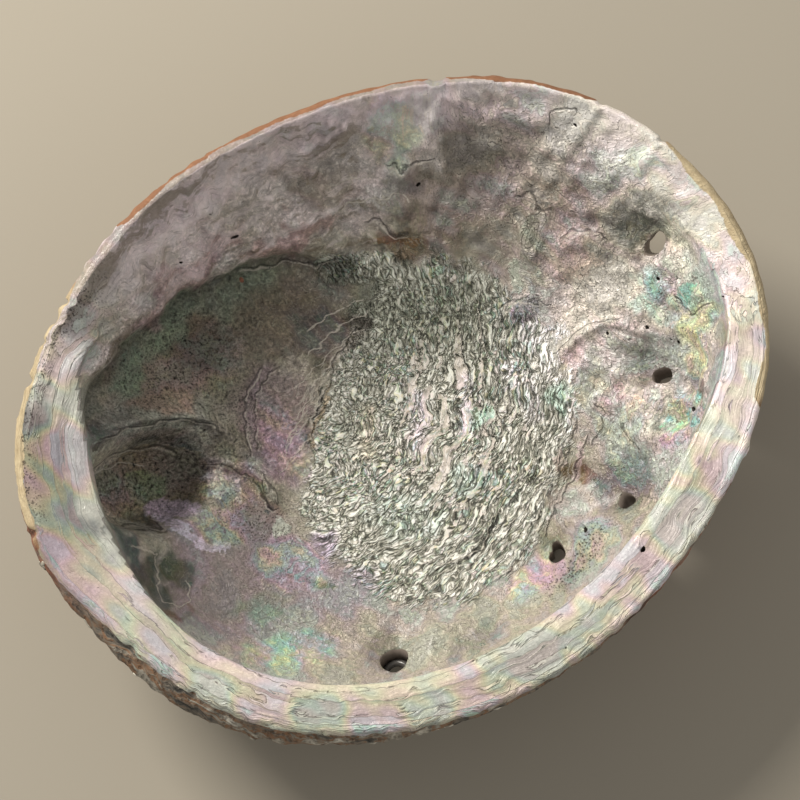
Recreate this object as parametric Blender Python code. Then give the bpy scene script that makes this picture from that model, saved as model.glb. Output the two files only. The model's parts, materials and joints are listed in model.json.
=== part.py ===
"""Shell of a red abalone, lying on its domed back with the opening upwards.

The shell grew as one piece, so it is one closed solid, made from one sphere. The sphere's upper half is moved
down into the pearly bowl, its lower half becomes the outer dome and its equator the lip. Every form on the
two sides is a named value in millimetres, seen from above with +X to the growing edge, +Y to the outer lip
and the coil at the -X end. The breathing holes are cut last.
"""

from collections import namedtuple
from math import pi, radians

import bpy
import numpy as np
from mathutils import Vector

MM = 0.001
NAME = "abalone_shell"

# Whole shell
HEIGHT = 58.0
FLOOR_WALL = 4.2
WORN_BACK = 0.5
SEGMENTS = 104
RINGS = 46

# Plan outline: radius of the lip about the middle of the shell, from the growing edge round by the outer lip
STEP = 15
LIP_RADIUS = (99.8, 99.3, 96.6, 92.0, 87.0, 83.4, 81.4, 82.0, 84.6, 88.2, 93.4, 98.6,
              98.6, 92.8, 90.4, 88.6, 85.2, 82.6, 80.8, 80.1, 80.9, 84.2, 90.0, 96.4)

# Inner shelf at the same angles: how far it reaches in from the lip's crest, how far it drops on the way,
# and how far the wall steps back under its edge. A stretch under SHELF_THIN has no shelf, one over
# SHELF_FULL all of it.
SHELF_WIDTH = (7.0, 4.5, 3.0, 2.0, 2.0, 2.0, 2.0, 2.0, 2.0, 4.0, 9.0, 16.0,
               16.0, 10.5, 9.0, 10.0, 10.4, 10.8, 11.0, 11.2, 11.2, 11.6, 12.0, 10.0)
SHELF_DROP = (1.4, 1.0, 0.7, 0.5, 0.5, 0.5, 0.5, 0.5, 0.6, 1.2, 3.5, 6.5,
              6.0, 3.6, 3.0, 2.8, 2.6, 2.6, 2.6, 2.6, 2.6, 2.6, 2.4, 1.9)
UNDERCUT = (0.5, 0.0, 0.0, 0.0, 0.0, 0.0, 0.0, 0.0, 0.0, 0.0, 0.0, 0.0,
            1.0, 3.5, 5.0, 6.0, 6.5, 7.0, 7.0, 7.0, 7.0, 6.5, 5.0, 2.5)
SHELF_THIN = 2.0
SHELF_FULL = 10.0
SHELF_CURL = 1.3
SHELF_THICK = 8.0

# Thickness of the wall at the lip, and how far the lip's edge lies below its highest stretch
LIP_WALL = (3.4, 3.3, 3.2, 3.2, 3.2, 3.2, 3.2, 3.2, 3.3, 3.5, 3.8, 4.2,
            4.4, 4.4, 4.2, 4.0, 3.8, 3.8, 3.8, 3.8, 3.8, 3.7, 3.6, 3.5)
LIP_DIP = (2.0, 1.2, 0.4, 0.0, 0.6, 1.2, 1.0, 0.4, 0.2, 0.8, 2.0, 3.4,
           4.0, 3.4, 2.4, 1.4, 0.6, 0.2, 0.0, 0.2, 0.8, 1.6, 2.4, 2.6)

# Roundness of the bowl at the same angles: 2 and 1 make a dish, higher numbers a steep wall and a flat floor
BOWL_POWER = (2.3, 2.1, 2.1, 2.1, 2.1, 2.2, 2.3, 2.5, 2.6, 2.8, 3.0, 3.2,
              3.6, 4.2, 4.6, 4.8, 5.0, 5.0, 5.0, 5.0, 4.8, 4.4, 3.6, 2.8)
WALL_POWER = (1.05, 1.0, 1.0, 1.0, 1.0, 1.0, 1.05, 1.1, 1.15, 1.2, 1.25, 1.3,
              1.5, 1.8, 2.0, 2.0, 2.0, 2.0, 2.0, 2.0, 2.0, 1.8, 1.5, 1.2)

# How far the dome swells past the lip on the coil's side
SWELLING = (0.0, 0.0, 0.0, 0.0, 0.0, 0.0, 0.0, 0.0, 0.0, 0.0, 0.0, 0.5,
            3.0, 5.5, 6.0, 4.5, 3.0, 1.6, 1.0, 1.0, 1.2, 1.0, 0.5, 0.0)
SWELLING_DEEP = 15.0

# Share of the rings at which the lip's band starts, width of that band where there is no shelf, width of the
# lip's crest, and how closely the rings gather at the foot of the band and at the lip. Forms are calmed at
# the lip, left off the shelf, and fade over the given shares of a path at its start and end.
BAND_START = 0.78
BAND_WIDTH = 12.0
CREST_WIDTH = 2.0
BOWL_GATHER = 0.8
DOME_GATHER = 0.6
RING_STEP = 0.02
LIP_CALM = 0.06
SHELF_CALM = 0.70
FADE_IN = 0.12
FADE_OUT = 0.15

Lump = namedtuple("Lump", "x y long short turn height")
Path = namedtuple("Path", "points half_width height")
Hole = namedtuple("Hole", "x y long short")

# Forms inside the bowl; a negative height is a hollow
BOWL_LUMPS = (
    Lump(39, 65, 8, 5, 10, 2.0),
    Lump(36, 41, 11, 6, -20, 2.6),
    Lump(52, 50, 8, 5, -25, -2.2),
    Lump(72, 39, 9, 6, -40, 2.2),
    Lump(62, 24, 9, 7, -20, 3.6),
    Lump(53, 32, 5, 3.5, 60, 1.8),
    Lump(76, 27, 8, 5, -35, 2.0),
    Lump(56, -2, 13, 7, 20, 2.6),
    Lump(62, -31, 7, 4, 60, 2.2),
    Lump(38, -50, 7, 4, 20, 2.0),
    Lump(-10, -58, 12, 5, 8, 2.4),
    Lump(-44, -53, 9, 4, -20, 1.8),
    Lump(20, 67, 12, 5, 5, -1.8),
    Lump(4, 63, 9, 5, 5, 1.8),
    Lump(-48, 30, 13, 8, 45, 1.2),
)
SCAR = Lump(9, -4, 50, 39, 75, 1.7)
SCAR_EDGE = 7.0

COIL_PIT = Lump(-66, 9.5, 12.8, 10.4, 25, -11.0)
PIT_EDGE = 2.6

LEDGE = Path(((-84, 10), (-80, 24), (-72, 36), (-61, 45), (-42, 54), (-20, 56.5), (-8, 54.5), (-2, 51),
              (12, 49)), 2.2, 5.2)
LEDGE_REACH = 11.0
GROOVE = Path(((-80, -2), (-83, 10), (-81, 22), (-75, 34)), 3.0, -2.2)
COIL_RIDGE = Path(((-76, 17), (-70, 24.5), (-61, 27), (-51, 24), (-44, 15), (-40, 4), (-38, -9)), 4.0, 3.2)

# Breathing holes, youngest first, and the old one that was bored wider
HOLES = (
    Hole(81.5, 15, 5.0, 7.0),
    Hole(70.5, -17, 4.8, 6.6),
    Hole(49.5, -43.5, 4.2, 6.0),
    Hole(27, -48.5, 4.6, 5.6),
    Hole(-26, -58.5, 8.0, 7.6),
)
FUNNEL_WIDE = 6.5
FUNNEL_DEEP = 2.6
HOLE_SIDES = 14
CUTTER_LENGTH = 36.0

# Forms on the dome; the lumps round its lowest point are the ones it has worn flat on
DOME_LUMPS = (
    Lump(52, 44, 14, 8, -30, 2.6),
    Lump(24, 60, 13, 7, -5, 2.4),
    Lump(-10, 66, 14, 6, 5, 2.0),
    Lump(62, 8, 13, 8, -50, 2.4),
    Lump(34, 30, 15, 9, -20, 2.0),
    Lump(-16, 38, 16, 8, 10, 2.0),
    Lump(-46, 46, 12, 7, 35, 1.8),
    Lump(-50, -44, 12, 7, -30, 2.0),
    Lump(78, 38, 10, 6, -50, 2.0),
    Lump(18, -10, 10, 8, 0, 1.8),
    Lump(-8, 15, 10, 8, 40, 1.8),
    Lump(-36, -16, 11, 8, 0, 1.5),
    Lump(-4, -36, 10, 8, 0, 1.0),
)
GROWTH_STEP = 15.0
GROWTH_HEIGHT = 0.4
TUBERCLE_HEIGHT = 2.8
TUBERCLE_WIDE = 7.0
TUBERCLE_SHIFT = 4.0
OLD_TUBERCLES = ((2, -61), (-48, -54), (-63, -43), (-75, -28), (-81, -12))
OLD_TUBERCLE_HEIGHT = 2.4

COIL_AT = (-64.0, 12.0)
COIL_RADIUS = 17.0
COIL_HEIGHT = 7.0
COIL_TURNS = 2.0
COIL_SEAM = 1.4
COIL_SEAM_SHARE = 0.16

NACRE_COLOUR = (0.62, 0.57, 0.56, 1.0)
NACRE_ROUGHNESS = 0.32


def clear_scene():
    """Remove what a new file starts with."""
    for leftover in list(bpy.data.objects):
        bpy.data.objects.remove(leftover, do_unlink=True)


def collection(name):
    """A new collection under the scene's own."""
    made = bpy.data.collections.new(name)
    bpy.context.scene.collection.children.link(made)
    return made


def move_to(thing, home):
    """Keep an object in one collection only."""
    for old in list(thing.users_collection):
        old.objects.unlink(thing)
    home.objects.link(thing)


def around(values, angle):
    """Smooth closed curve through values that are given every STEP degrees."""
    values = np.asarray(values, float)
    place = (angle % (2 * pi)) / radians(STEP)
    first = np.floor(place).astype(int)
    share = place - first
    before, start, end, after = (values[(first + shift) % len(values)] for shift in (-1, 0, 1, 2))
    slope = end - before
    bend = 2 * before - 5 * start + 4 * end - after
    twist = 3 * (start - end) + after - before
    return start + 0.5 * share * (slope + share * (bend + share * twist))


def ramp(value, low, high):
    """Smooth step from 0 at low to 1 at high."""
    share = np.clip((value - low) / (high - low), 0, 1)
    return share * share * (3 - 2 * share)


def gather(ring, strength):
    """Rings drawn towards the outermost one."""
    return ring * (1 - strength) + np.sin(ring * pi / 2) * strength


def dish(share, power, wall_power):
    """Depth of a bowl, 1 in the middle and 0 at its rim."""
    return np.clip(1 - np.clip(share, 0, 1) ** power, 0, 1) ** (1 / wall_power)


def wall_depth(radius, angle, edge, drop):
    """Depth of a wall that starts at an edge, as if there were no shelf."""
    deepest = HEIGHT - FLOOR_WALL - drop
    return drop + deepest * dish(radius / edge, around(BOWL_POWER, angle), around(WALL_POWER, angle))


def outwards(radius, angle, edge):
    """Unit direction, as radius and depth, that points out of the wall."""
    near = np.minimum(radius / edge + RING_STEP, 1) * edge
    far = np.maximum(radius / edge - RING_STEP, 0) * edge
    fall = wall_depth(far, angle, edge, 0) - wall_depth(near, angle, edge, 0)
    length = np.hypot(near - far, fall)
    return fall / length, (near - far) / length


def inner_edge(angle):
    """Radius at which the inner side of the wall reaches the lip."""
    lip = around(LIP_RADIUS, angle)
    wall = around(LIP_WALL, angle)
    sideways, _ = outwards(lip - wall, angle, lip - wall)
    return lip - wall * sideways


def bowl_section(ring, angle):
    """Radius and depth of the bowl's inside, with the shelf standing over its steep side."""
    width = around(SHELF_WIDTH, angle)
    strength = ramp(width, SHELF_THIN, SHELF_FULL)
    inner = gather(np.clip(ring / BAND_START, 0, 1), BOWL_GATHER)
    outer = np.clip((1 - ring) / (1 - BAND_START), 0, 1)
    on_wall = ring <= BAND_START
    edge = inner_edge(angle)
    plain_radius = np.where(on_wall, (edge - BAND_WIDTH) * inner, edge - BAND_WIDTH * outer)
    plain_depth = wall_depth(plain_radius, angle, edge, 0)
    drop = around(SHELF_DROP, angle)
    crest = around(LIP_RADIUS, angle) - CREST_WIDTH
    nose = crest - width
    wall = nose + around(UNDERCUT, angle)
    under_depth = wall_depth(wall * inner, angle, wall, drop)
    under_radius = wall * inner - (wall - nose) * np.exp(-((under_depth - drop) / SHELF_THICK) ** 2)
    shelf_radius = np.where(on_wall, under_radius, crest - width * outer)
    shelf_depth = np.where(on_wall, under_depth, drop * outer ** SHELF_CURL)
    radius = plain_radius * (1 - strength) + shelf_radius * strength
    depth = plain_depth * (1 - strength) + shelf_depth * strength
    return radius, depth + around(LIP_DIP, angle) * ring ** 3


def dome_section(ring, angle):
    """Radius and depth of the dome, a wall thickness outside the bowl and swollen on the side of the coil."""
    edge = inner_edge(angle)
    radius = edge * gather(ring, DOME_GATHER)
    sideways, down = outwards(radius, angle, edge)
    depth = wall_depth(radius, angle, edge, 0)
    thickness = (FLOOR_WALL + WORN_BACK) * (1 - ring) + around(LIP_WALL, angle) * ring
    radius = radius + thickness * sideways
    depth = depth + thickness * down
    low = depth / SWELLING_DEEP
    radius = radius + around(SWELLING, angle) * low * np.exp(1 - low)
    return radius, depth + around(LIP_DIP, angle) * ring ** 3


def lump_height(x, y, lump):
    """Height of one rounded lump over the plan."""
    turn = radians(lump.turn)
    along = ((x - lump.x) * np.cos(turn) + (y - lump.y) * np.sin(turn)) / lump.long
    across = ((y - lump.y) * np.cos(turn) - (x - lump.x) * np.sin(turn)) / lump.short
    return lump.height * np.exp(-(along ** 2 + across ** 2))


def plateau(x, y, lump, sharpness):
    """Height of a flat-topped lump with a definite edge."""
    turn = radians(lump.turn)
    along = ((x - lump.x) * np.cos(turn) + (y - lump.y) * np.sin(turn)) / lump.long
    across = ((y - lump.y) * np.cos(turn) - (x - lump.x) * np.sin(turn)) / lump.short
    return lump.height / (1 + (along ** 2 + across ** 2) ** sharpness)


def from_path(x, y, points):
    """Distance from a path, positive to the left of its direction, and the share of the path passed."""
    points = np.asarray(points, float)
    steps = np.diff(points, axis=0)
    lengths = np.hypot(steps[:, 0], steps[:, 1])
    passed = np.concatenate(([0], np.cumsum(lengths)))
    nearest = np.full(len(x), np.inf)
    signed = np.zeros(len(x))
    share = np.zeros(len(x))
    for start, step, length, before in zip(points, steps, lengths, passed):
        away_x, away_y = x - start[0], y - start[1]
        along = np.clip((away_x * step[0] + away_y * step[1]) / length ** 2, 0, 1)
        gap = np.hypot(away_x - along * step[0], away_y - along * step[1])
        closer = gap < nearest
        side = np.where(step[0] * away_y - step[1] * away_x > 0, 1, -1)
        nearest = np.where(closer, gap, nearest)
        signed = np.where(closer, side * gap, signed)
        share = np.where(closer, (before + along * length) / passed[-1], share)
    return signed, share


def ends_faded(share):
    """1 along a path and 0 at its two ends."""
    return ramp(share, 0.0, FADE_IN) * ramp(1 - share, 0.0, FADE_OUT)


def rib(x, y, path):
    """Height of a rounded rib, or groove, that follows a path."""
    gap, share = from_path(x, y, path.points)
    return path.height * np.exp(-(gap / path.half_width) ** 2) * ends_faded(share)


def ledge(x, y):
    """Step down from the outer lip's wall to the floor, fading out to both sides."""
    gap, share = from_path(x, y, LEDGE.points)
    step = 0.5 * np.tanh(gap / LEDGE.half_width)
    return LEDGE.height * step * np.exp(-(gap / LEDGE_REACH) ** 2) * ends_faded(share)


def bowl_relief(x, y):
    """Height that the forms inside the bowl add to it."""
    height = ledge(x, y) + rib(x, y, GROOVE) + rib(x, y, COIL_RIDGE)
    height += plateau(x, y, COIL_PIT, PIT_EDGE) + plateau(x, y, SCAR, SCAR_EDGE)
    for lump in BOWL_LUMPS:
        height += lump_height(x, y, lump)
    for hole in HOLES:
        height += lump_height(x, y, Lump(hole.x, hole.y, FUNNEL_WIDE, FUNNEL_WIDE, 0, -FUNNEL_DEEP))
    return height


def coil(x, y):
    """Height of the low coil on the dome, with the seam between its turns."""
    away_x, away_y = x - COIL_AT[0], y - COIL_AT[1]
    reach = np.hypot(away_x, away_y) / COIL_RADIUS
    turned = np.arctan2(away_y, away_x) / (2 * pi)
    phase = COIL_TURNS * np.sqrt(np.clip(reach, 0, None)) - turned
    seam = np.exp(-((phase - np.round(phase)) / COIL_SEAM_SHARE) ** 2)
    return np.exp(-reach ** 4) * (COIL_HEIGHT * (1 - 0.5 * reach ** 2) - COIL_SEAM * seam)


def dome_relief(x, y):
    """Height that the forms on the dome add to it."""
    from_coil = np.hypot(x - COIL_AT[0], y - COIL_AT[1])
    height = coil(x, y) + GROWTH_HEIGHT * np.sin(2 * pi * from_coil / GROWTH_STEP)
    for lump in DOME_LUMPS:
        height += lump_height(x, y, lump)
    for hole in HOLES:
        out = 1 + TUBERCLE_SHIFT / np.hypot(hole.x, hole.y)
        raised = Lump(hole.x * out, hole.y * out, TUBERCLE_WIDE, TUBERCLE_WIDE, 0, TUBERCLE_HEIGHT)
        height += lump_height(x, y, raised)
    for old_x, old_y in OLD_TUBERCLES:
        height += lump_height(x, y, Lump(old_x, old_y, TUBERCLE_WIDE, TUBERCLE_WIDE, 0, OLD_TUBERCLE_HEIGHT))
    return height


def place(radius, depth, angle):
    """Points in millimetres, with the lip near the full height."""
    return np.column_stack((radius * np.cos(angle), radius * np.sin(angle), HEIGHT - depth))


def set_points(mesh, points):
    """Give a mesh its points, in millimetres."""
    mesh.vertices.foreach_set("co", (points * MM).ravel())
    mesh.update()


def normals_of(mesh):
    """Outward direction at every point of a mesh."""
    found = np.empty(len(mesh.vertices) * 3)
    mesh.vertex_normals.foreach_get("vector", found)
    return found.reshape(-1, 3)


def shell_mesh():
    """The whole wall of the shell, without its holes."""
    bpy.ops.mesh.primitive_uv_sphere_add(segments=SEGMENTS, ring_count=RINGS, radius=1)
    ball = bpy.context.object
    mesh = ball.data.copy()
    bpy.data.objects.remove(ball, do_unlink=True)
    sphere = np.empty(len(mesh.vertices) * 3)
    mesh.vertices.foreach_get("co", sphere)
    across, along, up = sphere.reshape(-1, 3).T
    angle = np.arctan2(along, across)
    from_pole = 1 - np.abs(np.arcsin(np.clip(up, -1, 1))) / (pi / 2)
    inside = up > -0.25 / RINGS
    half = RINGS / 2
    ring = np.where(inside, from_pole, np.clip(from_pole * half / (half - 1), 0, 1))
    bowl = place(*bowl_section(ring, angle), angle)
    dome = place(*dome_section(ring, angle), angle)
    base = np.where(inside[:, None], bowl, dome)
    set_points(mesh, base)
    relief = np.where(inside, bowl_relief(base[:, 0], base[:, 1]), dome_relief(base[:, 0], base[:, 1]))
    relief *= ramp(1 - ring, 0.0, LIP_CALM)
    on_shelf = ramp(ring, SHELF_CALM, BAND_START) * ramp(around(SHELF_WIDTH, angle), SHELF_THIN, SHELF_FULL)
    relief *= np.where(inside, 1 - on_shelf, 1)
    points = base + normals_of(mesh) * relief[:, None]
    points[:, 2] = np.maximum(points[:, 2], 0)
    set_points(mesh, points)
    return mesh


def nacre():
    """Pale grey-mauve mother-of-pearl."""
    material = bpy.data.materials.new("nacre")
    material.use_nodes = True
    shader = material.node_tree.nodes["Principled BSDF"]
    shader.inputs["Base Color"].default_value = NACRE_COLOUR
    shader.inputs["Roughness"].default_value = NACRE_ROUGHNESS
    shader.inputs["Metallic"].default_value = 0.0
    return material


def hole_cutter(shell, hole, number, home):
    """An oval rod through the wall, square to the bowl's surface at the hole."""
    above = Vector((hole.x * MM, hole.y * MM, 2 * HEIGHT * MM))
    hit, on_bowl, normal, _ = shell.ray_cast(above, Vector((0, 0, -1)))
    if not hit:
        raise RuntimeError("no wall under hole " + str(number))
    bpy.ops.mesh.primitive_cylinder_add(vertices=HOLE_SIDES, radius=1, depth=1)
    rod = bpy.context.object
    rod.name = "hole_cutter_" + str(number)
    for vertex in rod.data.vertices:
        vertex.co.x *= hole.long / 2 * MM
        vertex.co.y *= hole.short / 2 * MM
        vertex.co.z *= CUTTER_LENGTH * MM
    rod.rotation_mode = "QUATERNION"
    rod.rotation_quaternion = normal.to_track_quat("Z", "Y")
    rod.location = on_bowl
    rod.hide_render = True
    rod.display_type = "WIRE"
    move_to(rod, home)
    return rod


def build():
    """Make the shell and cut its holes."""
    clear_scene()
    parts = collection(NAME)
    cutters = collection("cutters")
    mesh = shell_mesh()
    mesh.name = NAME
    shell = bpy.data.objects.new(NAME, mesh)
    parts.objects.link(shell)
    mesh.materials.append(nacre())
    mesh.shade_smooth()
    bpy.context.view_layer.update()
    rods = [hole_cutter(shell, hole, number, cutters) for number, hole in enumerate(HOLES, 1)]
    for rod in rods:
        cut = shell.modifiers.new("breathing hole", "BOOLEAN")
        cut.operation = "DIFFERENCE"
        cut.solver = "EXACT"
        cut.object = rod


build()
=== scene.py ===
"""Looks of a red abalone shell: fine relief and mother-of-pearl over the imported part, on a pale floor."""

import json
from collections import namedtuple
from math import atan, cos, pi, radians, sin
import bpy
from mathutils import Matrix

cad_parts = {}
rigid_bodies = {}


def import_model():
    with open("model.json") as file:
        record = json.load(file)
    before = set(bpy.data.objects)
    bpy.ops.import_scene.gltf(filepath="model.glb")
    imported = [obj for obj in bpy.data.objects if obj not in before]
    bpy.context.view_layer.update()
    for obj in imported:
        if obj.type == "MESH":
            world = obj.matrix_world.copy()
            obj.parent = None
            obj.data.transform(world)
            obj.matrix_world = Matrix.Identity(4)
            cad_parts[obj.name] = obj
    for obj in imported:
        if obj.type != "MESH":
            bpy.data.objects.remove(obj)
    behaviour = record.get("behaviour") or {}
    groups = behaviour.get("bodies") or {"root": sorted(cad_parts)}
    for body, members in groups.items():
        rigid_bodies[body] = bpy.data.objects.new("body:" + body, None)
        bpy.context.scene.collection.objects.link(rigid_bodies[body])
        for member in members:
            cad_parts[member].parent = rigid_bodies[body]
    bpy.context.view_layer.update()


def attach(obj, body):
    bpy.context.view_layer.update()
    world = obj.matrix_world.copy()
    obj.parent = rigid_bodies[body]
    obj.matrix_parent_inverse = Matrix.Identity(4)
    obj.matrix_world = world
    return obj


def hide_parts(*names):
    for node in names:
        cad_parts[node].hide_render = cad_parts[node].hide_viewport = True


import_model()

from types import SimpleNamespace

import bmesh
import bpy
import numpy as np
from mathutils import Vector
from mathutils.kdtree import KDTree

bl_info = {
    "name": "Abalone Shell",
    "version": (1, 0, 0),
    "blender": (4, 5, 0),
    "location": "View3D > Sidebar > Shell",
    "description": "Builds an abalone shell with mother-of-pearl relief, and a plain stage for it",
    "category": "Add Mesh",
}

MM = 0.001

# Whole shell, in millimetres
HEIGHT = 58.0
FLOOR_WALL = 4.2
WORN_BACK = 0.5

# Plan outline: radius of the lip about the middle of the shell, from the growing edge round by the outer lip
STEP = 15
LIP_RADIUS = (99.8, 99.3, 96.6, 92.0, 87.0, 83.4, 81.4, 82.0, 84.6, 88.2, 93.4, 98.6,
              98.6, 92.8, 90.4, 88.6, 85.2, 82.6, 80.8, 80.1, 80.9, 84.2, 90.0, 96.4)

# Inner shelf at the same angles: reach in from the lip's crest, drop on the way, and step back underneath
SHELF_WIDTH = (7.0, 4.5, 3.0, 2.0, 2.0, 2.0, 2.0, 2.0, 2.0, 4.0, 9.0, 16.0,
               16.0, 10.5, 9.0, 10.0, 10.4, 10.8, 11.0, 11.2, 11.2, 11.6, 12.0, 10.0)
SHELF_DROP = (1.4, 1.0, 0.7, 0.5, 0.5, 0.5, 0.5, 0.5, 0.6, 1.2, 3.5, 6.5,
              6.0, 3.6, 3.0, 2.8, 2.6, 2.6, 2.6, 2.6, 2.6, 2.6, 2.4, 1.9)
UNDERCUT = (0.5, 0.0, 0.0, 0.0, 0.0, 0.0, 0.0, 0.0, 0.0, 0.0, 0.0, 0.0,
            1.0, 3.5, 5.0, 6.0, 6.5, 7.0, 7.0, 7.0, 7.0, 6.5, 5.0, 2.5)
SHELF_THIN = 2.0
SHELF_FULL = 10.0
SHELF_CURL = 1.3
SHELF_THICK = 8.0

# Thickness of the wall at the lip, and how far the lip's edge lies below its highest stretch
LIP_WALL = (3.4, 3.3, 3.2, 3.2, 3.2, 3.2, 3.2, 3.2, 3.3, 3.5, 3.8, 4.2,
            4.4, 4.4, 4.2, 4.0, 3.8, 3.8, 3.8, 3.8, 3.8, 3.7, 3.6, 3.5)
LIP_DIP = (2.0, 1.2, 0.4, 0.0, 0.6, 1.2, 1.0, 0.4, 0.2, 0.8, 2.0, 3.4,
           4.0, 3.4, 2.4, 1.4, 0.6, 0.2, 0.0, 0.2, 0.8, 1.6, 2.4, 2.6)
LIP_BULGE = 0.5

# Roundness of the bowl at the same angles
BOWL_POWER = (2.3, 2.1, 2.1, 2.1, 2.1, 2.2, 2.3, 2.5, 2.6, 2.8, 3.0, 3.2,
              3.6, 4.2, 4.6, 4.8, 5.0, 5.0, 5.0, 5.0, 4.8, 4.4, 3.6, 2.8)
WALL_POWER = (1.05, 1.0, 1.0, 1.0, 1.0, 1.0, 1.05, 1.1, 1.15, 1.2, 1.25, 1.3,
              1.5, 1.8, 2.0, 2.0, 2.0, 2.0, 2.0, 2.0, 2.0, 1.8, 1.5, 1.2)
SWELLING = (0.0, 0.0, 0.0, 0.0, 0.0, 0.0, 0.0, 0.0, 0.0, 0.0, 0.0, 0.5,
            3.0, 5.5, 6.0, 4.5, 3.0, 1.6, 1.0, 1.0, 1.2, 1.0, 0.5, 0.0)
SWELLING_DEEP = 15.0

BAND_START = 0.78
BAND_WIDTH = 12.0
CREST_WIDTH = 2.0
BOWL_GATHER = 0.8
DOME_GATHER = 0.6
RING_STEP = 0.02
LIP_CALM = 0.06
SHELF_CALM = 0.70
NOTCH_REACH = (0.90, 0.99)
NOTCH_DEEP = (3.0, 12.0)

# Closer points on the skin: how much closer, and where, as radii for the floor and else as rings
FLOOR_FINER = 0.45
FLOOR_END = (48, 66)
LIP_FINER = 0.35
LIP_FINE = (0.9, 1.0)
SIDE_FINER = 0.8
SIDE_FINE = (0.80, 0.95)
TOP_FINER = 1.5
TOP_FINE = (0.97, 1.05)

Lump = namedtuple("Lump", "x y long short turn height")
Path = namedtuple("Path", "points half_width height")
Hole = namedtuple("Hole", "x y long short waver")
Notch = namedtuple("Notch", "angle half_angle depth")
Patch = namedtuple("Patch", "x y long short turn colour strength")
Pit = namedtuple("Pit", "x y long short turn deep")
Stroke = namedtuple("Stroke", "points half_width colour strength")
Waves = namedtuple("Waves", "reach size seed")
Lamp = namedtuple("Lamp", "left up above size")


def rows(kind, table):
    """Rows of a table as named values; the points of a path are given as x and y in turn."""
    return tuple(kind(*row) for row in table)


# A set of waves: how many sines, spread of their sizes, their lean in height, and the divisor of their sum
WAVE_COUNT = 7
WAVE_SPREAD = (0.6, 1.6)
WAVE_LIFT = 1.2
WAVE_CALM = 3.0

# Waves that bend the borders of what is laid out over the plan
SCAR_WAVES = (Waves(1.6, 9, 11),)
DETAIL_WAVES = (Waves(0.6, 9, 21),)
TINT_WAVES = (Waves(1.8, 12, 31), Waves(0.9, 5, 33))
MARK_WAVES = (Waves(0.6, 7, 35),)
LIP_WAVES = (Waves(1.5, 16, 37),)
PLAY_WAVES = (Waves(1.0, 8, 41),)
LINE_WAVES = (Waves(0.5, 4, 43),)
SWIRL_WAVES = (Waves(2.0, 14, 45), Waves(0.8, 6, 46))
SWIRL_SIDE = (Waves(2.0, 14, 47),)
CLOUD_WAVES = (Waves(0.5, 26, 51), Waves(0.3, 9, 52))
CLOUD_BASE = 0.5
NEEDLE_WAVES = (Waves(0.9, 11, 61), Waves(0.35, 4, 63))

# Shares of a path over which what follows it fades at its start and end
START_FADE = 0.12
END_FADE = 0.15

# Distance that stands for far from every line
FAR_AWAY = 9.0

# Forms inside the bowl that the part has too; a path is the x and y of its points in turn
BOWL_LUMPS = rows(Lump, (
    (39, 65, 8, 5, 10, 2.0),
    (36, 41, 11, 6, -20, 2.6),
    (52, 50, 8, 5, -25, -2.2),
    (72, 39, 9, 6, -40, 2.2),
    (62, 24, 9, 7, -20, 3.6),
    (53, 32, 5, 3.5, 60, 1.8),
    (76, 27, 8, 5, -35, 2.0),
    (56, -2, 13, 7, 20, 2.6),
    (62, -31, 7, 4, 60, 2.2),
    (38, -50, 7, 4, 20, 2.0),
    (-10, -58, 12, 5, 8, 2.4),
    (-44, -53, 9, 4, -20, 1.8),
    (20, 67, 12, 5, 5, -1.8),
    (4, 63, 9, 5, 5, 1.8),
    (-48, 30, 13, 8, 45, 1.2),
))
SCAR = Lump(9, -4, 50, 39, 75, 1.7)
SCAR_EDGE = 7.0
COIL_PIT = Lump(-66, 9.5, 12.8, 10.4, 25, -11.0)
PIT_EDGE = 4.5
LEDGE = Path((-84, 10, -80, 24, -72, 36, -61, 45, -42, 54, -20, 56.5, -8, 54.5, -2, 51, 12, 49), 1.3, 6.0)
LEDGE_REACH = 11.0
LEDGE_FOOT = 2.0
GROOVE = Path((-80, -2, -83, 10, -81, 22, -75, 34), 3.0, -2.2)
COIL_RIDGE = Path((-76, 17, -70, 24.5, -61, 27, -51, 24, -44, 15, -40, 4, -38, -9), 4.0, 3.2)

# Finer forms inside the bowl
FINE_LUMPS = rows(Lump, (
    (46, 17, 5.0, 3.6, 20, 1.6),
    (62, 0.5, 2.4, 1.8, 20, -1.6),
    (28, 46, 4.5, 3.0, 10, 1.0),
    (44, 60, 6.0, 3.0, -60, -2.0),
    (30, 57, 3.0, 2.2, 0, -1.6),
    (16, 58, 6.0, 3.0, -5, 1.0),
    (2, 68, 9.0, 4.0, 5, -1.2),
    (13, 72, 8.0, 3.0, 0, 1.0),
    (57, 52, 6.0, 3.0, -25, -1.2),
    (67, 47, 5.0, 3.0, -40, 1.2),
    (84, 30, 4.0, 8.0, 10, 1.0),
    (76.5, 23, 7.5, 5.5, -35, -2.0),
    (65, -13, 7.5, 7.0, 30, -2.2),
    (51, -38, 8.0, 6.0, 20, -2.0),
    (53, -16, 5.0, 4.0, 20, 1.8),
    (48, -6, 4.0, 5.0, 0, 1.0),
    (60, -25, 3.0, 6.0, -25, 1.6),
    (87, 2, 3.0, 9.0, 5, 1.0),
    (80, -22, 3.0, 6.0, -15, 1.1),
    (42, -31, 3.0, 2.6, 0, -2.0),
    (35, -43, 2.4, 1.8, 20, 1.6),
    (16, -57, 5.0, 2.4, 20, 0.9),
    (-14, -58, 7.0, 3.4, 10, 1.4),
    (-62, -42, 4.0, 2.0, -30, 1.0),
    (-72, -14, 5.0, 9.0, 10, -0.9),
    (-54, -14, 14, 9, 20, 1.0),
    (-48, 6, 7, 6, -40, -1.0),
))
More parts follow.
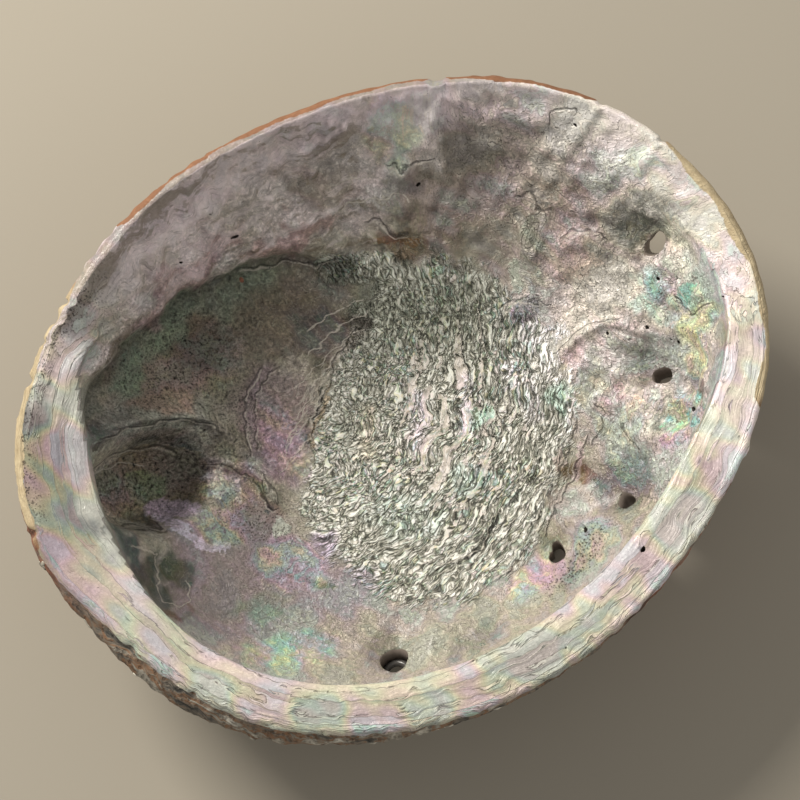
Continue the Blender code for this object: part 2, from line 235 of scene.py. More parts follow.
FINE_RIBS = rows(Path, (
    ((46.9, 0.8, 52.5, 2.3, 58.5, 3.9, 63.8, 2.5, 68.1, -0.2, 70.5, -4.2, 71, -9), 1.3, 1.9),
    ((79.9, 29.4, 79.6, 25.6, 81.7, 21.4, 84.8, 17.3, 84.1, 12.7, 81.5, 7.4, 80.5, 2), 1.4, 1.5),
    ((46.6, -16.9, 42.3, -22.3, 37.9, -27.7, 32.9, -32.2, 27.3, -36.8, 21, -42, 13, -48), 0.9, 1.2),
    ((90.1, -8, 86, -17.4, 80.6, -23.6, 75.2, -29.1), 1.2, 1.0),
    ((75, 2, 78, -8, 76, -20, 69, -30, 61, -36), 1.6, -1.2),
    ((64, -20, 63, -27, 59, -34, 55, -40), 1.0, 0.9),
    ((-77.4, 21.5, -72, 24.7, -67, 25.8, -60.7, 25.8, -54.5, 24.7, -50, 22.4, -45, 16), 1.1, 1.5),
    ((-70.5, 22.7, -65.2, 23.6, -59.1, 23.2, -53.4, 20.7, -49.5, 17), 0.9, 1.0),
    ((-74, -8, -68, -24, -56, -36), 1.4, -0.7),
    ((-60, 55, -40, 61, -18, 64, 6, 60), 1.3, 1.1),
    ((-66, 50, -44, 57, -20, 60, 4, 55), 1.0, 0.9),
    ((-78, 41, -62, 57, -38, 67, -12, 71), 1.8, 0.8),
))
FINE_LEDGES = rows(Path, (
    ((3, 33.5, -4.2, 28.8, -9.2, 25.9, -12.7, 20.5, -20.6, 13.1, -23.3, 7, -27, 0, -34, -7), 0.8, 1.5),
    ((-54, 12.7, -50.2, 10.9, -47.1, 8.8, -44.1, 5.4, -42.1, 1.8, -41.7, -3, -40.6, -7.5), 0.7, 1.6),
    ((60, 28.2, 63.4, 28.4, 67.2, 26.7, 69.3, 23.7, 70.3, 19), 0.7, -1.0),
    ((39, 16, 39.9, 20.8, 43, 20.6, 46.5, 18.2, 47.6, 15), 0.7, -1.1),
))
FINE_REACH = 3.5

# Unevenness of the bowl, which is stronger at the top and on the right
BROAD_SWELL = (Waves(0.60, 9, 23),)
FINE_SWELL = (Waves(0.28, 4.6, 24),)
ROUGH_EVERYWHERE = 0.4
ROUGH_TOP = (34, 46)
ROUGH_RIGHT = (44, 58)

# Radius of the muscle scar about its middle, at the same angles as the lip
SCAR_MIDDLE = (10.0, -6.0)
SCAR_RADIUS = (39.4, 41.2, 42.3, 45.1, 47.9, 49.1, 47.2, 40.9, 37.3, 34.9, 35.1, 36.8,
               42.2, 44.5, 45.1, 46.6, 47.1, 46.3, 43.8, 39.3, 36.3, 35.4, 36.3, 38.3)
SCAR_SOFT = 5.0
SCAR_TONGUE = Path((18, 42, 9, 44.5, -1, 48), 3.4, 0.0)

# Lines where layers end: dark ones, the first of them painted shadow under the ledge's overhang, and pale
# where a thin edge stands up
DARK_LINES = (
    # Painted shadow under the ledge's overhang
    (-26, 54.4, -19.8, 54.0, -9, 52.3, -3, 49.2, 6, 48.2),
    (-77.4, 21.5, -72, 24.2, -66.9, 25.2, -60.7, 25.2, -54.5, 24, -50, 21.8, -45, 15.5),
    (-76.5, 12, -73.6, 15.7, -69.7, 18.7, -64.9, 19.9, -60, 19.2, -56.2, 16.7, -54.5, 12.9),
    (-54, 12.7, -50.2, 10.9, -47.1, 8.8, -44.1, 5.4, -42.1, 1.8, -41.7, -3, -40.6, -7.5, -38, -5),
    (-78.9, 0.6, -74, 0.5, -70, 1.3, -67.7, -3, -66, 0.7, -65.7, 3.4),
    (3, 33.5, -4.2, 28.8, -9.2, 25.9, -12.7, 20.5, -20.6, 13.1, -23.3, 7, -24, 2),
    (46.6, -16.9, 42.3, -22.3, 37.9, -27.7, 32.9, -32.2, 27.3, -36.8, 21.1, -41.7, 13.4, -48.2, 2, -51),
    (49, -20, 44.5, -25.8, 40, -30.4, 34.6, -35, 29.2, -39.6, 23.2, -44.2),
    (48.3, -16.3, 42.8, -22.5, 38.9, -26.7, 32.4, -31.3, 26.7, -35.5, 21.0, -40.1),
    (45.4, -15.2, 41.9, -20.5, 38.2, -24.8, 33.1, -28.5, 27.1, -31.9, 21.0, -35.4, 13.6, -39.9),
    (-42.2, 7.4, -39.4, 16.9, -35.4, 26.2, -30, 30.6, -25, 33),
    (-39.2, 8.9, -36.8, 16.3, -33.3, 24.9, -28.2, 28.6, -22, 31),
    (-44.2, 8.7, -41.0, 5.8, -39.5, 0.8, -38.8, -3.1, -38.9, -7.0),
    (40.7, 22.1, 43.7, 20.0, 46.6, 19.9, 50.5, 17.4, 52, 13),
    (53.5, -13.2, 54.1, -18.7, 50.4, -23.5, 46.5, -26.0),
    (56.4, -22.5, 56.8, -29.0, 57.7, -34.6),
    (26.3, -0.9, 28.2, -1, 28.2, -4.8, 28.2, -11.4, 26, -12.9, 23.2, -10.5, 23.2, -4, 25.5, -1),
    (18.2, -29.5, 14.4, -33.5, 10.5, -38.5, 4.3, -40.4, -1.4, -39.5, -6, -39.7, -9.5, -37.5),
    (28.1, 20.7, 26, 14.4, 24.3, 6.1, 22.7, -2),
    (36.1, 26.9, 33.1, 16.9, 30.5, 6.2),
    (44.4, 11.1, 40.7, 4.1, 39.5, -5.7, 36.6, -14.8),
    (39, 15, 39.4, 20, 43, 21, 47, 18.4, 51, 15),
    (60, 28.8, 63.4, 29, 67.4, 27.4, 70, 24.4, 70.9, 20),
    (46.9, 1.6, 52.5, 3.2, 58.5, 4.9, 63.8, 3.6, 68.6, 0.6),
    (91.3, -7.8, 88.1, -15.4, 82.6, -21.7, 77.1, -27),
    (80.2, 1, 79.8, -3.3, 81, -7.6, 84.2, -7.4, 87, -9),
    (66, 53, 67.4, 55.6, 70.4, 55.2, 74, 51),
    (22, 64, 26.2, 61.6, 31.4, 60.6, 37, 60),
    (12, 55, 17, 53, 20, 48.6, 24, 48),
    (52, 44, 57, 42, 58, 37, 62, 35),
)
PALE_LINES = (
    (-80.1, -4.3, -76.8, -5.8, -72.9, -7.9, -74.2, -13, -76.2, -17, -76.1, -21.3, -73, -24.3,
     -70.2, -22.8, -68.4, -18.8, -68.3, -14.4),
    (-83.3, -13.9, -80, -19.4, -78.5, -23.5),
    (-74.1, 13.6, -69.5, 15.8, -64.6, 15.6, -61.2, 13.5),
    (4, 60.4, 11, 59.6, 18, 58, 24, 56.4, 28, 53),
    (6, 64.6, 14, 64, 22, 61),
    (79.6, 25.6, 81.7, 21.4, 84.8, 17.3, 84.1, 12.7, 81.5, 7.4),
    (48, -18.4, 43.6, -24, 39, -29, 33.8, -33.6, 28.2, -38.2),
    (72.9, 4, 74.8, -2, 74.6, -7, 72, -9.6),
    (6.8, 38.4, -0.4, 37.8, -6.4, 37.8, -14.3, 35.6),
    (6.3, 34.9, -1.9, 34.3, -8.7, 32.6, -17.1, 29.3),
    (4.2, 31.4, -2.0, 30.5, -8.9, 28.7, -18.2, 24.7, -23.8, 22.0),
    (-1.7, 27.6, -8.4, 26.2, -17.1, 22.3, -24.8, 17.8),
    (-6.6, 24.6, -13.2, 22.2, -19.0, 19.2, -27.1, 14.0),
    (-13.2, 19.4, -19.3, 17.1, -24.0, 14.5, -31.3, 9.0),
    (-16.2, 15.2, -21.9, 13.7, -27.1, 10.8, -33.4, 5.8),
    (-20, 9.4, -25, 8.2, -30, 5.4, -35.4, 1.8),
    (86, 4, 84.4, -4.7, 80.3, -10.7, 77.4, -14.7, 77.8, -21),
    (81.9, 7.1, 81.0, -2.7, 80.2, -8.3),
)

# Coloured strokes across the bowl, soft ones and crisp ragged ones, among them painted shadow and painted
# highlights about the coil's hollow and painted shade in and beside the scar; all colours here are in
# hundredths
SOFT_STROKES = rows(Stroke, (
    # Painted shadow: the dark crescent inside the coil hollow's right rim
    ((-68, 20.6, -62, 21.8, -57, 20, -53.8, 16, -52.8, 11.4, -54, 7, -57.6, 4), 1.7, (4, 3, 3), 0.95),
    ((10.5, 10, 6.5, 1, 2, -8), 2.4, (80, 74, 76), 0.6),
    ((24.5, 9, 20.5, 0, 16.4, -9), 2.2, (80, 75, 76), 0.6),
    ((-4, 12, -8.5, 3.5, -12, -5), 2.4, (76, 71, 62), 0.6),
    ((34, 8, 38, -2, 37, -14), 2.6, (84, 80, 80), 0.6),
    ((-3.4, 36, 1.5, 33.2, 5.8, 30.4), 1.9, (20, 17, 15), 0.8),
    ((-4, 41, -8, 38, -14, 37), 2.8, (22, 22, 19), 0.8),
    ((68.3, -8.2, 65.3, -12.2, 64.4, -18.4), 2.6, (34, 32, 29), 0.85),
    ((85.4, 12, 87, 3, 86, -6, 82, -15), 1.8, (62, 68, 63), 0.75),
    ((82, 14, 83.4, 9, 84, 2), 1.4, (94, 88, 82), 0.7),
    ((-40.7, 6, -38.0, 16.6, -34.3, 25.6, -29.1, 29.5, -23, 32.0), 1.6, (56, 50, 55), 0.6),
))
CRISP_STROKES = rows(Stroke, (
    ((-78, 21, -72.6, 24.2, -66.9, 25.2, -60.8, 25.0, -54.7, 23.7, -50.3, 21.1, -47.6, 17.5,
     -45, 14), 0.6, (22, 24, 21), 0.8),
    ((-74.1, 19.5, -69.6, 22.2, -63.1, 23.0, -57.0, 21.9, -53.3, 19.6, -51.3, 15.9), 0.7, (50, 46, 44), 0.8),
    ((-54, 11.4, -49.6, 9.8, -46.2, 7.5, -43.2, 4.2, -41.8, 1.1, -42.4, -2.6, -41.6, -6.5,
     -39, -9), 0.7, (20, 18, 17), 0.85),
    # Painted highlight on the coil hollow's right rim
    ((-48.6, 11.5, -49.8, 8.4, -51.6, 5.0, -52.6, 1.0), 1.2, (95, 94, 92), 0.95),
    ((-46.0, 6.5, -47.6, 1.5, -48.0, -3), 0.9, (86, 82, 88), 0.8),
    # Painted highlights: pale pink glints below the coil's hollow
    ((-64.6, 4.0, -63.9, -1.1, -65.0, -4.7, -63.0, -8.2, -58.8, -11.0, -54, -13.0), 1.3, (84, 80, 88), 0.9),
    ((-79, 1.4, -77.0, 0.8, -71.2, -0.9, -67.7, -3.1, -66.5, 1.4, -65.4, 5.3), 0.5, (16, 13, 12), 0.9),
    ((-46.5, -22.5, -42.7, -25.1, -39.9, -27.8, -36.6, -30.7, -32, -33.5), 1.0, (30, 32, 27), 0.85),
    ((13, 49.6, 17, 48.9, 21, 46.6, 26, 44.4), 0.9, (42, 29, 17), 0.9),
    ((46.9, 31, 47.0, 29.8, 46.4, 26.0, 45.9, 20.8), 1.3, (70, 74, 70), 0.85),
    # Painted shade in five long crevices of the scar, this row and the next four
    ((28.6, 12.5, 26.1, 5.2, 22.1, -3.5, 21.0, -8.2), 0.5, (28, 31, 22), 0.85),
    ((33, 16, 30, 7, 27.6, -1, 25, -8), 0.45, (32, 33, 26), 0.8),
    ((22.3, 9.0, 18.1, 1.3, 13.2, -7.2, 9, -15), 0.4, (32, 32, 27), 0.8),
    ((15.8, 5.9, 11.2, -3.3, 6.8, -10.7), 0.4, (32, 32, 27), 0.8),
    ((4.2, 12.5, -0.7, 1.8, -3.5, -6.3), 0.4, (32, 32, 27), 0.8),
    ((28.2, -26.4, 24, -29.4, 18.8, -31.4, 12.8, -34.9, 7.9, -38.9, 2, -42), 0.5, (20, 21, 18), 0.9),
    ((36, -20, 31.4, -25, 25, -28.4, 18, -31), 0.4, (26, 26, 22), 0.85),
    ((-11.6, 22.6, -14.3, 18.2, -16.4, 14.5, -20.1, 12.9, -22.8, 9.4, -24.4, 3.0), 0.6, (52, 43, 31), 0.7),
    # Painted shadow: a dark line on the pad's side of the scar's raised left edge
    ((-13, 23.2, -15.8, 18.9, -17.8, 15.6, -21.3, 14.0, -24, 10.2, -25.8, 3.4), 0.5, (12, 10, 8), 0.9),
    ((46.2, -22, 42.4, -27.5, 36.8, -33.6), 0.8, (84, 74, 76), 0.7),
    ((60, -1.2, 63.3, 0.6, 67.3, 0.2, 70.8, -3.4), 0.9, (94, 87, 86), 0.8),
    ((76.6, 9, 76.2, 2, 77.4, -4), 0.6, (36, 46, 44), 0.8),
    ((80.4, -6, 79.4, -12, 78.4, -19, 75.6, -25), 0.9, (97, 94, 74), 0.85),
    ((76.2, -16, 74.6, -22, 71, -27), 0.7, (42, 44, 48), 0.75),
    ((68.6, -21, 65.4, -27, 62, -33), 0.6, (42, 46, 45), 0.75),
    ((65.4, -20, 62, -26, 58.6, -32), 0.7, (82, 84, 81), 0.8),
    ((71, -21, 68, -27, 64.4, -33), 0.6, (80, 83, 80), 0.8),
))

BLISTER = Lump(54.5, 33, 5.6, 3.4, 62, 1.0)
BLISTER_RIM = 0.8
BLISTER_SOFT = 0.3

# Breathing holes, youngest first, and the old one that was bored wider
HOLES = rows(Hole, (
    (81.5, 15, 5.0, 7.0, 0.10),
    (70.5, -17, 4.8, 6.6, 0.06),
    (49.5, -43.5, 4.2, 6.0, 0.14),
    (27, -48.5, 4.6, 5.6, 0.24),
    (-26, -58.5, 8.0, 7.6, 0.04),
))
FUNNEL_WIDE = 6.5
FUNNEL_DEEP = 2.6
HOLE_SIDES = 28
HOLE_CORNERS = 0.6
CUTTER_LENGTH = 36.0

# Ring inside the old hole
OLD_HOLE = HOLES[4]
COLLAR_RADIUS = 3.0
COLLAR_WIRE = 1.0
COLLAR_DEEP = 4.0

# Small pits that borers left
PITS = rows(Pit, (
    (71, -4, 2.2, 1.1, 60, 1.6),
    (75, -10, 1.4, 0.9, 0, 1.2),
    (76.5, -11.5, 1.8, 0.8, -40, 1.2),
    (78, 6, 1.6, 1.2, 30, 1.3),
    (88, -8, 1.4, 0.9, 50, 1.0),
    (62, 0, 1.8, 1.2, 20, 1.5),
    (72, -30, 2.4, 1.4, 70, 1.6),
    (72, 50, 2.0, 0.8, 0, 1.0),
    (-22, 61, 3.2, 1.6, -20, 1.8),
    (-26, 67, 1.0, 0.8, 0, 1.0),
    (-38, 59, 1.0, 0.8, 0, 1.0),
    (30, 57, 1.8, 1.4, 40, 1.4),
    (41, -60, 2.6, 1.6, 40, 1.6),
    (13, -75, 1.2, 0.8, 0, 1.0),
    (36, -46, 2.6, 1.6, 30, 1.6),
))
PIT_SIDES = 9
PIT_WAVER = 0.18
PIT_SEED = 50
PIT_HIGH = 1.5
PIT_NARROW = 0.5

# Bites out of the lip: share of a bite that is flat; then the angle, half the span, and depth of each
NOTCH_FLAT = 0.45
NOTCHES = rows(Notch, (
    (140.8, 0.9, 1.3),
    (144.0, 1.3, 1.0),
    (148.0, 0.7, 0.8),
    (154.5, 1.0, 1.1),
    (177.6, 0.9, 1.6),
    (60.2, 1.6, 0.9),
    (33.0, 0.8, 0.7),
    (21.8, 0.7, 0.8),
    (201.0, 1.2, 0.6),
    (213.0, 0.8, 0.5),
))

# Wear of the lip's edge, as waves: reach in, count round the lip, and phase
LIP_WEAR = ((0.06, 26, pi / 2 - 1), (-0.06, 48, pi / 2 + 1), (0.08, 83, 0.0))

# Forms on the dome that the part has too
DOME_LUMPS = rows(Lump, (
    (52, 44, 14, 8, -30, 2.6),
    (24, 60, 13, 7, -5, 2.4),
    (-10, 66, 14, 6, 5, 2.0),
    (62, 8, 13, 8, -50, 2.4),
    (34, 30, 15, 9, -20, 2.0),
    (-16, 38, 16, 8, 10, 2.0),
    (-46, 46, 12, 7, 35, 1.8),
    (-50, -44, 12, 7, -30, 2.0),
    (78, 38, 10, 6, -50, 2.0),
    (18, -10, 10, 8, 0, 1.8),
    (-8, 15, 10, 8, 40, 1.8),
    (-36, -16, 11, 8, 0, 1.5),
    (-4, -36, 10, 8, 0, 1.0),
))
GROWTH_STEP = 15.0
GROWTH_HEIGHT = 0.4
TUBERCLE_HEIGHT = 2.8
TUBERCLE_WIDE = 7.0
TUBERCLE_SHIFT = 4.0
OLD_TUBERCLES = ((2, -61), (-48, -54), (-63, -43), (-75, -28), (-81, -12))
OLD_TUBERCLE_HEIGHT = 2.4
COIL_AT = (-64.0, 12.0)
COIL_RADIUS = 17.0
COIL_HEIGHT = 7.0
COIL_TURNS = 2.0
COIL_SEAM = 1.4
COIL_SEAM_WIDE = 0.16

# Centre of the arcs that the scar's needles follow, and the heading of the fine barbs beside it
NEEDLE_CENTRE = (-32.0, 40.0)
NEEDLE_REACH = 56.0
FEATHER_TURN = -73.0
FEATHERED = Lump(-18, 41, 17, 9, 15, 1.0)

# Smooth stripes of the scar, and its darker areas, painted shade in part, most of it at the scar's top under
# the wall
STRIPE_ALONG = 0.12
STRIPE_WAVE = (5.0, 65)
STRIPE_WAVES = (Waves(0.4, 9, 66),)
STRIPE_EDGE = (-0.4, 0.6)
STRIPED = Lump(15, -4, 31, 22, 75, 1.0)
SCAR_SHADES = (Lump(22, 28, 27, 15, -22, 1.0), Lump(-5, 12, 14, 8, 50, 0.3))

# Grain of the layers: swirls on the floor, and bands that run with the lip on the wall and shelf
SWIRL_SCALE = 0.085
LIP_REACH = 80.0
BAND_ALONG = 0.012
BAND_ACROSS = 0.27
BAND_BEND = 0.4
LEFT_WALL_STRETCHES = ((66.0, 172.0),)
LEFT_WALL_SOFT = 14.0
WALL_END = (34, 44)
LEDGE_EDGE = 1.5
RIGHT_FROM = (40, 54)

# How much the edges of the layers show
CONTOUR_BASE = 0.55
CONTOUR_TOP = (38, 48)
CONTOUR_LIP = 0.6
CONTOUR_LIP_END = (3, 9)
CONTOUR_WALL = 0.5
CONTOUR_WALL_END = (30, 38)
PLAIN_SHELF = Lump(-93, 6, 18, 34, 6, 0.8)

# Where the nacre is cracked
CRACKED = rows(Lump, (
    (-49, 0, 9, 9, 0, 1.0),
    (-66, 10, 11, 8, 25, 0.8),
    (-36, -44, 22, 8, -20, 0.8),
    (-10, -58, 16, 7, 8, 0.7),
    (-38, -20, 10, 9, 0, 0.7),
    (-72, 24, 12, 5, 0, 0.6),
    (-58, -32, 14, 10, 0, 0.5),
    (-46, 42, 24, 10, 20, 0.45),
    (-44, 22, 24, 15, 20, 0.55),
))
CRACKED_RIGHT = 0.9
CRACKED_TOP = 0.35
CRACKED_FROM = (48, 58)
CRACKED_LIP = 0.35
CRACKED_LIP_END = (6, 14)

# Where it is grainy, and how uneven and how glossy it is
GRAINY = rows(Lump, (
    (-66, 10, 12, 9, 25, 3.6),
    (-46, 42, 26, 12, 20, 2.2),
    (-44, 20, 26, 17, 20, 2.0),
    (-44, -34, 30, 20, -20, 0.6),
    (-46, -2, 12, 12, 0, 1.2),
))
GRAINY_BASE = 0.7
GRAINY_FLOOR = -0.1
GRAINY_WALL = 0.9
GRAINY_SHELF = 0.4
GRAINY_LIP = 0.30
GRAINY_LIP_END = (6, 16)
FLOOR_FROM = (26, 36)
MUDDLE_BASE = 0.85
MUDDLE_RIGHT = 0.35
MUDDLE_SHELF = 0.45
MUDDLE_FLOOR = 0.25
GLOSS_BASE = 0.25
GLOSS_SHELF = 0.50
GLOSS_LOW = 0.20
GLOSS_LOW_FROM = (20, 45)
GLOSS_LEAST = 0.05
DULL_PAD = Lump(-38, 38, 34, 18, 20, 0.20)

# Where it has dark specks
SPECKLED = rows(Lump, (
    (-46, 40, 15, 8, 25, 1.0),
    (-46, -7, 13, 8, -30, 1.0),
    (26, -55, 14, 4, 25, 0.9),
    (36, -50, 8, 4, 30, 1.0),
    (-40, 24, 14, 14, 0, 0.8),
    (-64, 10, 10, 9, 0, 0.8),
    (-46, -26, 18, 14, 0, 0.5),
    (40, 52, 26, 10, -20, 0.35),
))
SPECK_CORNER = 0.5
SPECK_LEFT = (52, 60)
SPECK_ABOVE = (20, 30)
SPECK_LIP = 0.8
SPECK_LIP_END = (3, 7)
SPECK_OUTSIDE = 0.4

# Stretches of the outer layer that show at the lip, as angles: brick red, cream, and worn
BRICK_STRETCHES = ((33.7, 58.5), (61.9, 125.0))
CREAM_STRETCHES = ((-24.0, 21.3),)
WORN_STRETCHES = ((138.0, 178.0),)
BRICK_SOFT, CREAM_SOFT, WORN_SOFT = 0.8, 1.5, 3.0
BRICK_WIDE, CREAM_WIDE, WORN_WIDE = 1.5, 2.6, 1.7
EDGE_UNEVEN = ((0.30, 9, 0.6), (0.20, 31, 0.0))
EDGE_LEAST = 0.05
EDGE_NONE = 0.5
LOW_RIM_STRETCHES = ((188.0, 292.0),)
LOW_RIM_SOFT = 8.0
LOW_RIM_FROM = (0.55, 0.8)

# Steps of the section tables round the shell, along it and over the lip's top, and how far over they go
ANGLE_STEPS = 720
FINE_STEPS = 400
LIP_STEPS = 60
LIP_SHARE = 0.86

# Colour of plain nacre, millimetres to which crisp marks are measured, and where a soft patch fades
NACRE_COLOUR = (68, 66, 61)
MARK_REACH = 2.0
PATCH_SOFT = (0.4, 1.3)

# Brightness and colours of the lip and shelf, with painted light on the right, painted shade along the
# shelf's nose and painted shadow under the ledge: strengths, and where in plan millimetres they start and end
TOP_BRIGHT = 0.16
RIGHT_PAINTED_LIGHT = 0.34
BRIGHT_FROM = (44, 60)
RIGHT_LIP = (50, 74)
LIP_PALE = 0.8
LIP_PALE_START = 3
LIP_PALE_MORE = 3
LIP_PALE_END = 15
LIP_COLOUR = (86, 80, 82)
RIGHT_LIP_COLOUR = (97, 95, 93)
LIP_TOP = 0.85
LIP_TOP_END = (40, 70)
LIP_TOP_COLOUR = (50, 45, 42)
SHELF_COLOUR = (74, 72, 68)
NOSE_SHADE = 0.45
NOSE_WIDE = 0.014
NOSE_FROM = (60, 80)
FOOT_SHADE = 0.55
FOOT_WIDE = 1.8
# Colour areas of the bowl, in plan millimetres, among them painted shadow under the ledge and round the
# youngest hole, and painted light on the slope into the coil's hollow
PATCHES = rows(Patch, (
    (70, 10, 30, 62, 0, (76, 73, 71), 0.8),
    (5, 66, 70, 13, 2, (84, 80, 80), 0.8),
    (-50, 56, 26, 9, 36, (90, 85, 86), 0.8),
    # Painted shadow under the ledge's overhang
    (-62, 44, 18, 4, 42, (46, 43, 37), 0.75),
    (-20, 66, 9, 5, 10, (68, 64, 60), 0.7),
    (-45, 60, 9, 3, 30, (54, 51, 44), 0.7),
    (4, 66, 14, 5, -20, (52, 47, 43), 0.75),
    (13, 71, 8, 4, -10, (56, 53, 50), 0.6),
    (27, 68, 7, 8, 0, (76, 75, 67), 0.8),
    (43, 59, 9, 4, -55, (32, 29, 26), 0.9),
    (58, 52, 22, 15, -35, (62, 58, 57), 0.85),
    (36, 54, 18, 7, -12, (50, 46, 43), 0.8),
    (62, 35, 14, 9, -30, (49, 43, 41), 0.8),
    (32, 44, 20, 6, -15, (40, 36, 32), 0.85),
    (62, 23, 8, 6, -20, (68, 59, 56), 0.75),
    (64, 27, 5, 2, -20, (68, 58, 53), 0.7),
    (51, 22, 4, 3.4, 0, (50, 53, 50), 0.9),
    (73, 24, 10, 8, -30, (50, 47, 45), 0.8),
    # Painted shade in the youngest hole's funnel and round the hole itself, this row and the next
    (79.0, 19.5, 7.5, 5.8, -50, (30, 28, 25), 0.95),
    (82, 14.5, 4.6, 4.6, 0, (20, 18, 15), 0.95),
    (-34, 41, 36, 15, 18, (51, 50, 43), 0.95),
    (-52, 41, 18, 9, 38, (53, 59, 50), 0.95),
    (-28, 51, 18, 6, 5, (46, 50, 44), 0.9),
    (-42, 40, 9, 6, 20, (43, 35, 29), 0.85),
    (-56, 31, 14, 6, 25, (68, 58, 53), 0.85),
    (-20, 42, 16, 8, 15, (46, 42, 36), 0.8),
    (-30, 20, 13, 13, 60, (54, 47, 48), 0.85),
    (-34, 8, 6, 12, 10, (60, 48, 56), 0.75),
    (-10, 34, 10, 8, 30, (30, 28, 24), 0.85),
    (2, 42, 9, 5.5, -50, (40, 40, 35), 0.85),
    (-3, 33, 7, 5, -30, (38, 33, 30), 0.7),
    (-44, 14, 8, 5, -40, (40, 40, 34), 0.8),
    (-63, 25, 17, 4.2, 0, (60, 61, 57), 0.9),
    (-80, 22, 5, 20, -14, (30, 32, 29), 0.95),
    # Painted light on the slope down into the coil's hollow, which faces away from the lamp
    (-81, 6, 4.0, 15, -4, (60, 62, 57), 0.9),
    (-48, 3, 8, 7, -40, (56, 51, 56), 0.9),
    (-46, -4, 7, 6, -30, (62, 54, 50), 0.85),
    (-56, -5, 7, 5, -20, (78, 70, 80), 0.85),
    (-58, -20, 20, 20, 20, (56, 51, 54), 0.85),
    (-78, -12, 4, 14, 8, (20, 23, 21), 0.95),
    (-70, -14, 3.6, 7, 5, (25, 29, 21), 0.95),
    (-75, -26, 3.4, 2.6, -30, (38, 26, 20), 0.9),
    (-52, -31, 11, 4, -10, (48, 56, 47), 0.75),
    (-42, -22, 10, 7, -30, (68, 56, 65), 0.7),
    (-36, -32, 15, 10, -30, (61, 56, 59), 0.8),
    (-50, -45, 11, 6, -15, (55, 72, 63), 0.85),
    (-54, -46, 5, 3, -30, (84, 80, 56), 0.8),
    (-63, -42, 4, 2.6, -30, (62, 55, 57), 0.85),
    (-12, -58, 15, 6, 8, (70, 69, 64), 0.85),
    (-4, -62, 10, 4, 10, (44, 47, 44), 0.7),
    (-26, -54, 7, 5, 0, (34, 34, 32), 0.7),
    (19, -53, 9, 4, 30, (72, 60, 68), 0.75),
    (28, -55, 8, 3, 30, (44, 46, 42), 0.8),
    (36, -50, 9, 5, 35, (64, 60, 62), 0.75),
    (30, -44, 4, 3, 30, (46, 46, 38), 0.75),
    (42, -31, 3.4, 3.0, 0, (42, 33, 22), 0.9),
    (50, -38, 9, 7, 30, (34, 35, 33), 0.9),
    (58, -27, 9, 7, 60, (72, 72, 69), 0.8),
    (68, -9, 6, 6.5, 60, (62, 60, 57), 0.85),
    (57, -7, 8, 6, 10, (88, 83, 82), 0.85),
    (54, 0, 5, 4, 20, (90, 80, 80), 0.8),
    (50, -12, 8, 10, 10, (82, 79, 76), 0.8),
    (76, 2, 4, 9, 8, (72, 84, 80), 0.75),
    (83, -3, 4, 4, 5, (66, 80, 73), 0.8),
    (86, 6, 6, 14, 5, (82, 82, 75), 0.75),
    (81, -9, 5, 4, 0, (82, 84, 60), 0.75),
    (74, -17, 4, 9, -18, (60, 60, 58), 0.7),
    (78, -15, 2.6, 6, -25, (92, 90, 74), 0.75),
    (70, -28, 3, 5, -30, (46, 74, 78), 0.85),
    (65, -35, 3, 2.6, 0, (86, 80, 82), 0.85),
    (66, -40, 3, 5, -30, (52, 42, 28), 0.8),
    (84, 40, 9, 7, -50, (95, 91, 91), 0.8),
    (85, 34, 5, 2.6, -50, (80, 84, 70), 0.7),
    (72, 50, 9, 5, -45, (56, 53, 53), 0.6),
    (-40, 57, 24, 3.4, 24, (64, 52, 53), 0.8),
    (-8, 58, 14, 3, -6, (64, 52, 51), 0.8),
    (16, 48.5, 5, 2.4, -10, (38, 30, 20), 0.7),
    (22.5, 45.5, 4, 2.4, -10, (38, 30, 21), 0.7),
    (-34, -22, 8, 5, 30, (72, 64, 71), 0.7),
    (22, -5, 4, 4, 0, (62, 76, 68), 0.6),
    (45, -10, 4, 5, 0, (66, 76, 68), 0.6),
    (13, -20, 6, 4, -30, (64, 72, 68), 0.4),
    (-8, -22, 12, 7, -20, (66, 70, 66), 0.4),
    (54, 9, 14, 8, 0, (82, 79, 77), 0.8),
    (52, 33, 16, 11, -30, (52, 48, 47), 0.65),
))

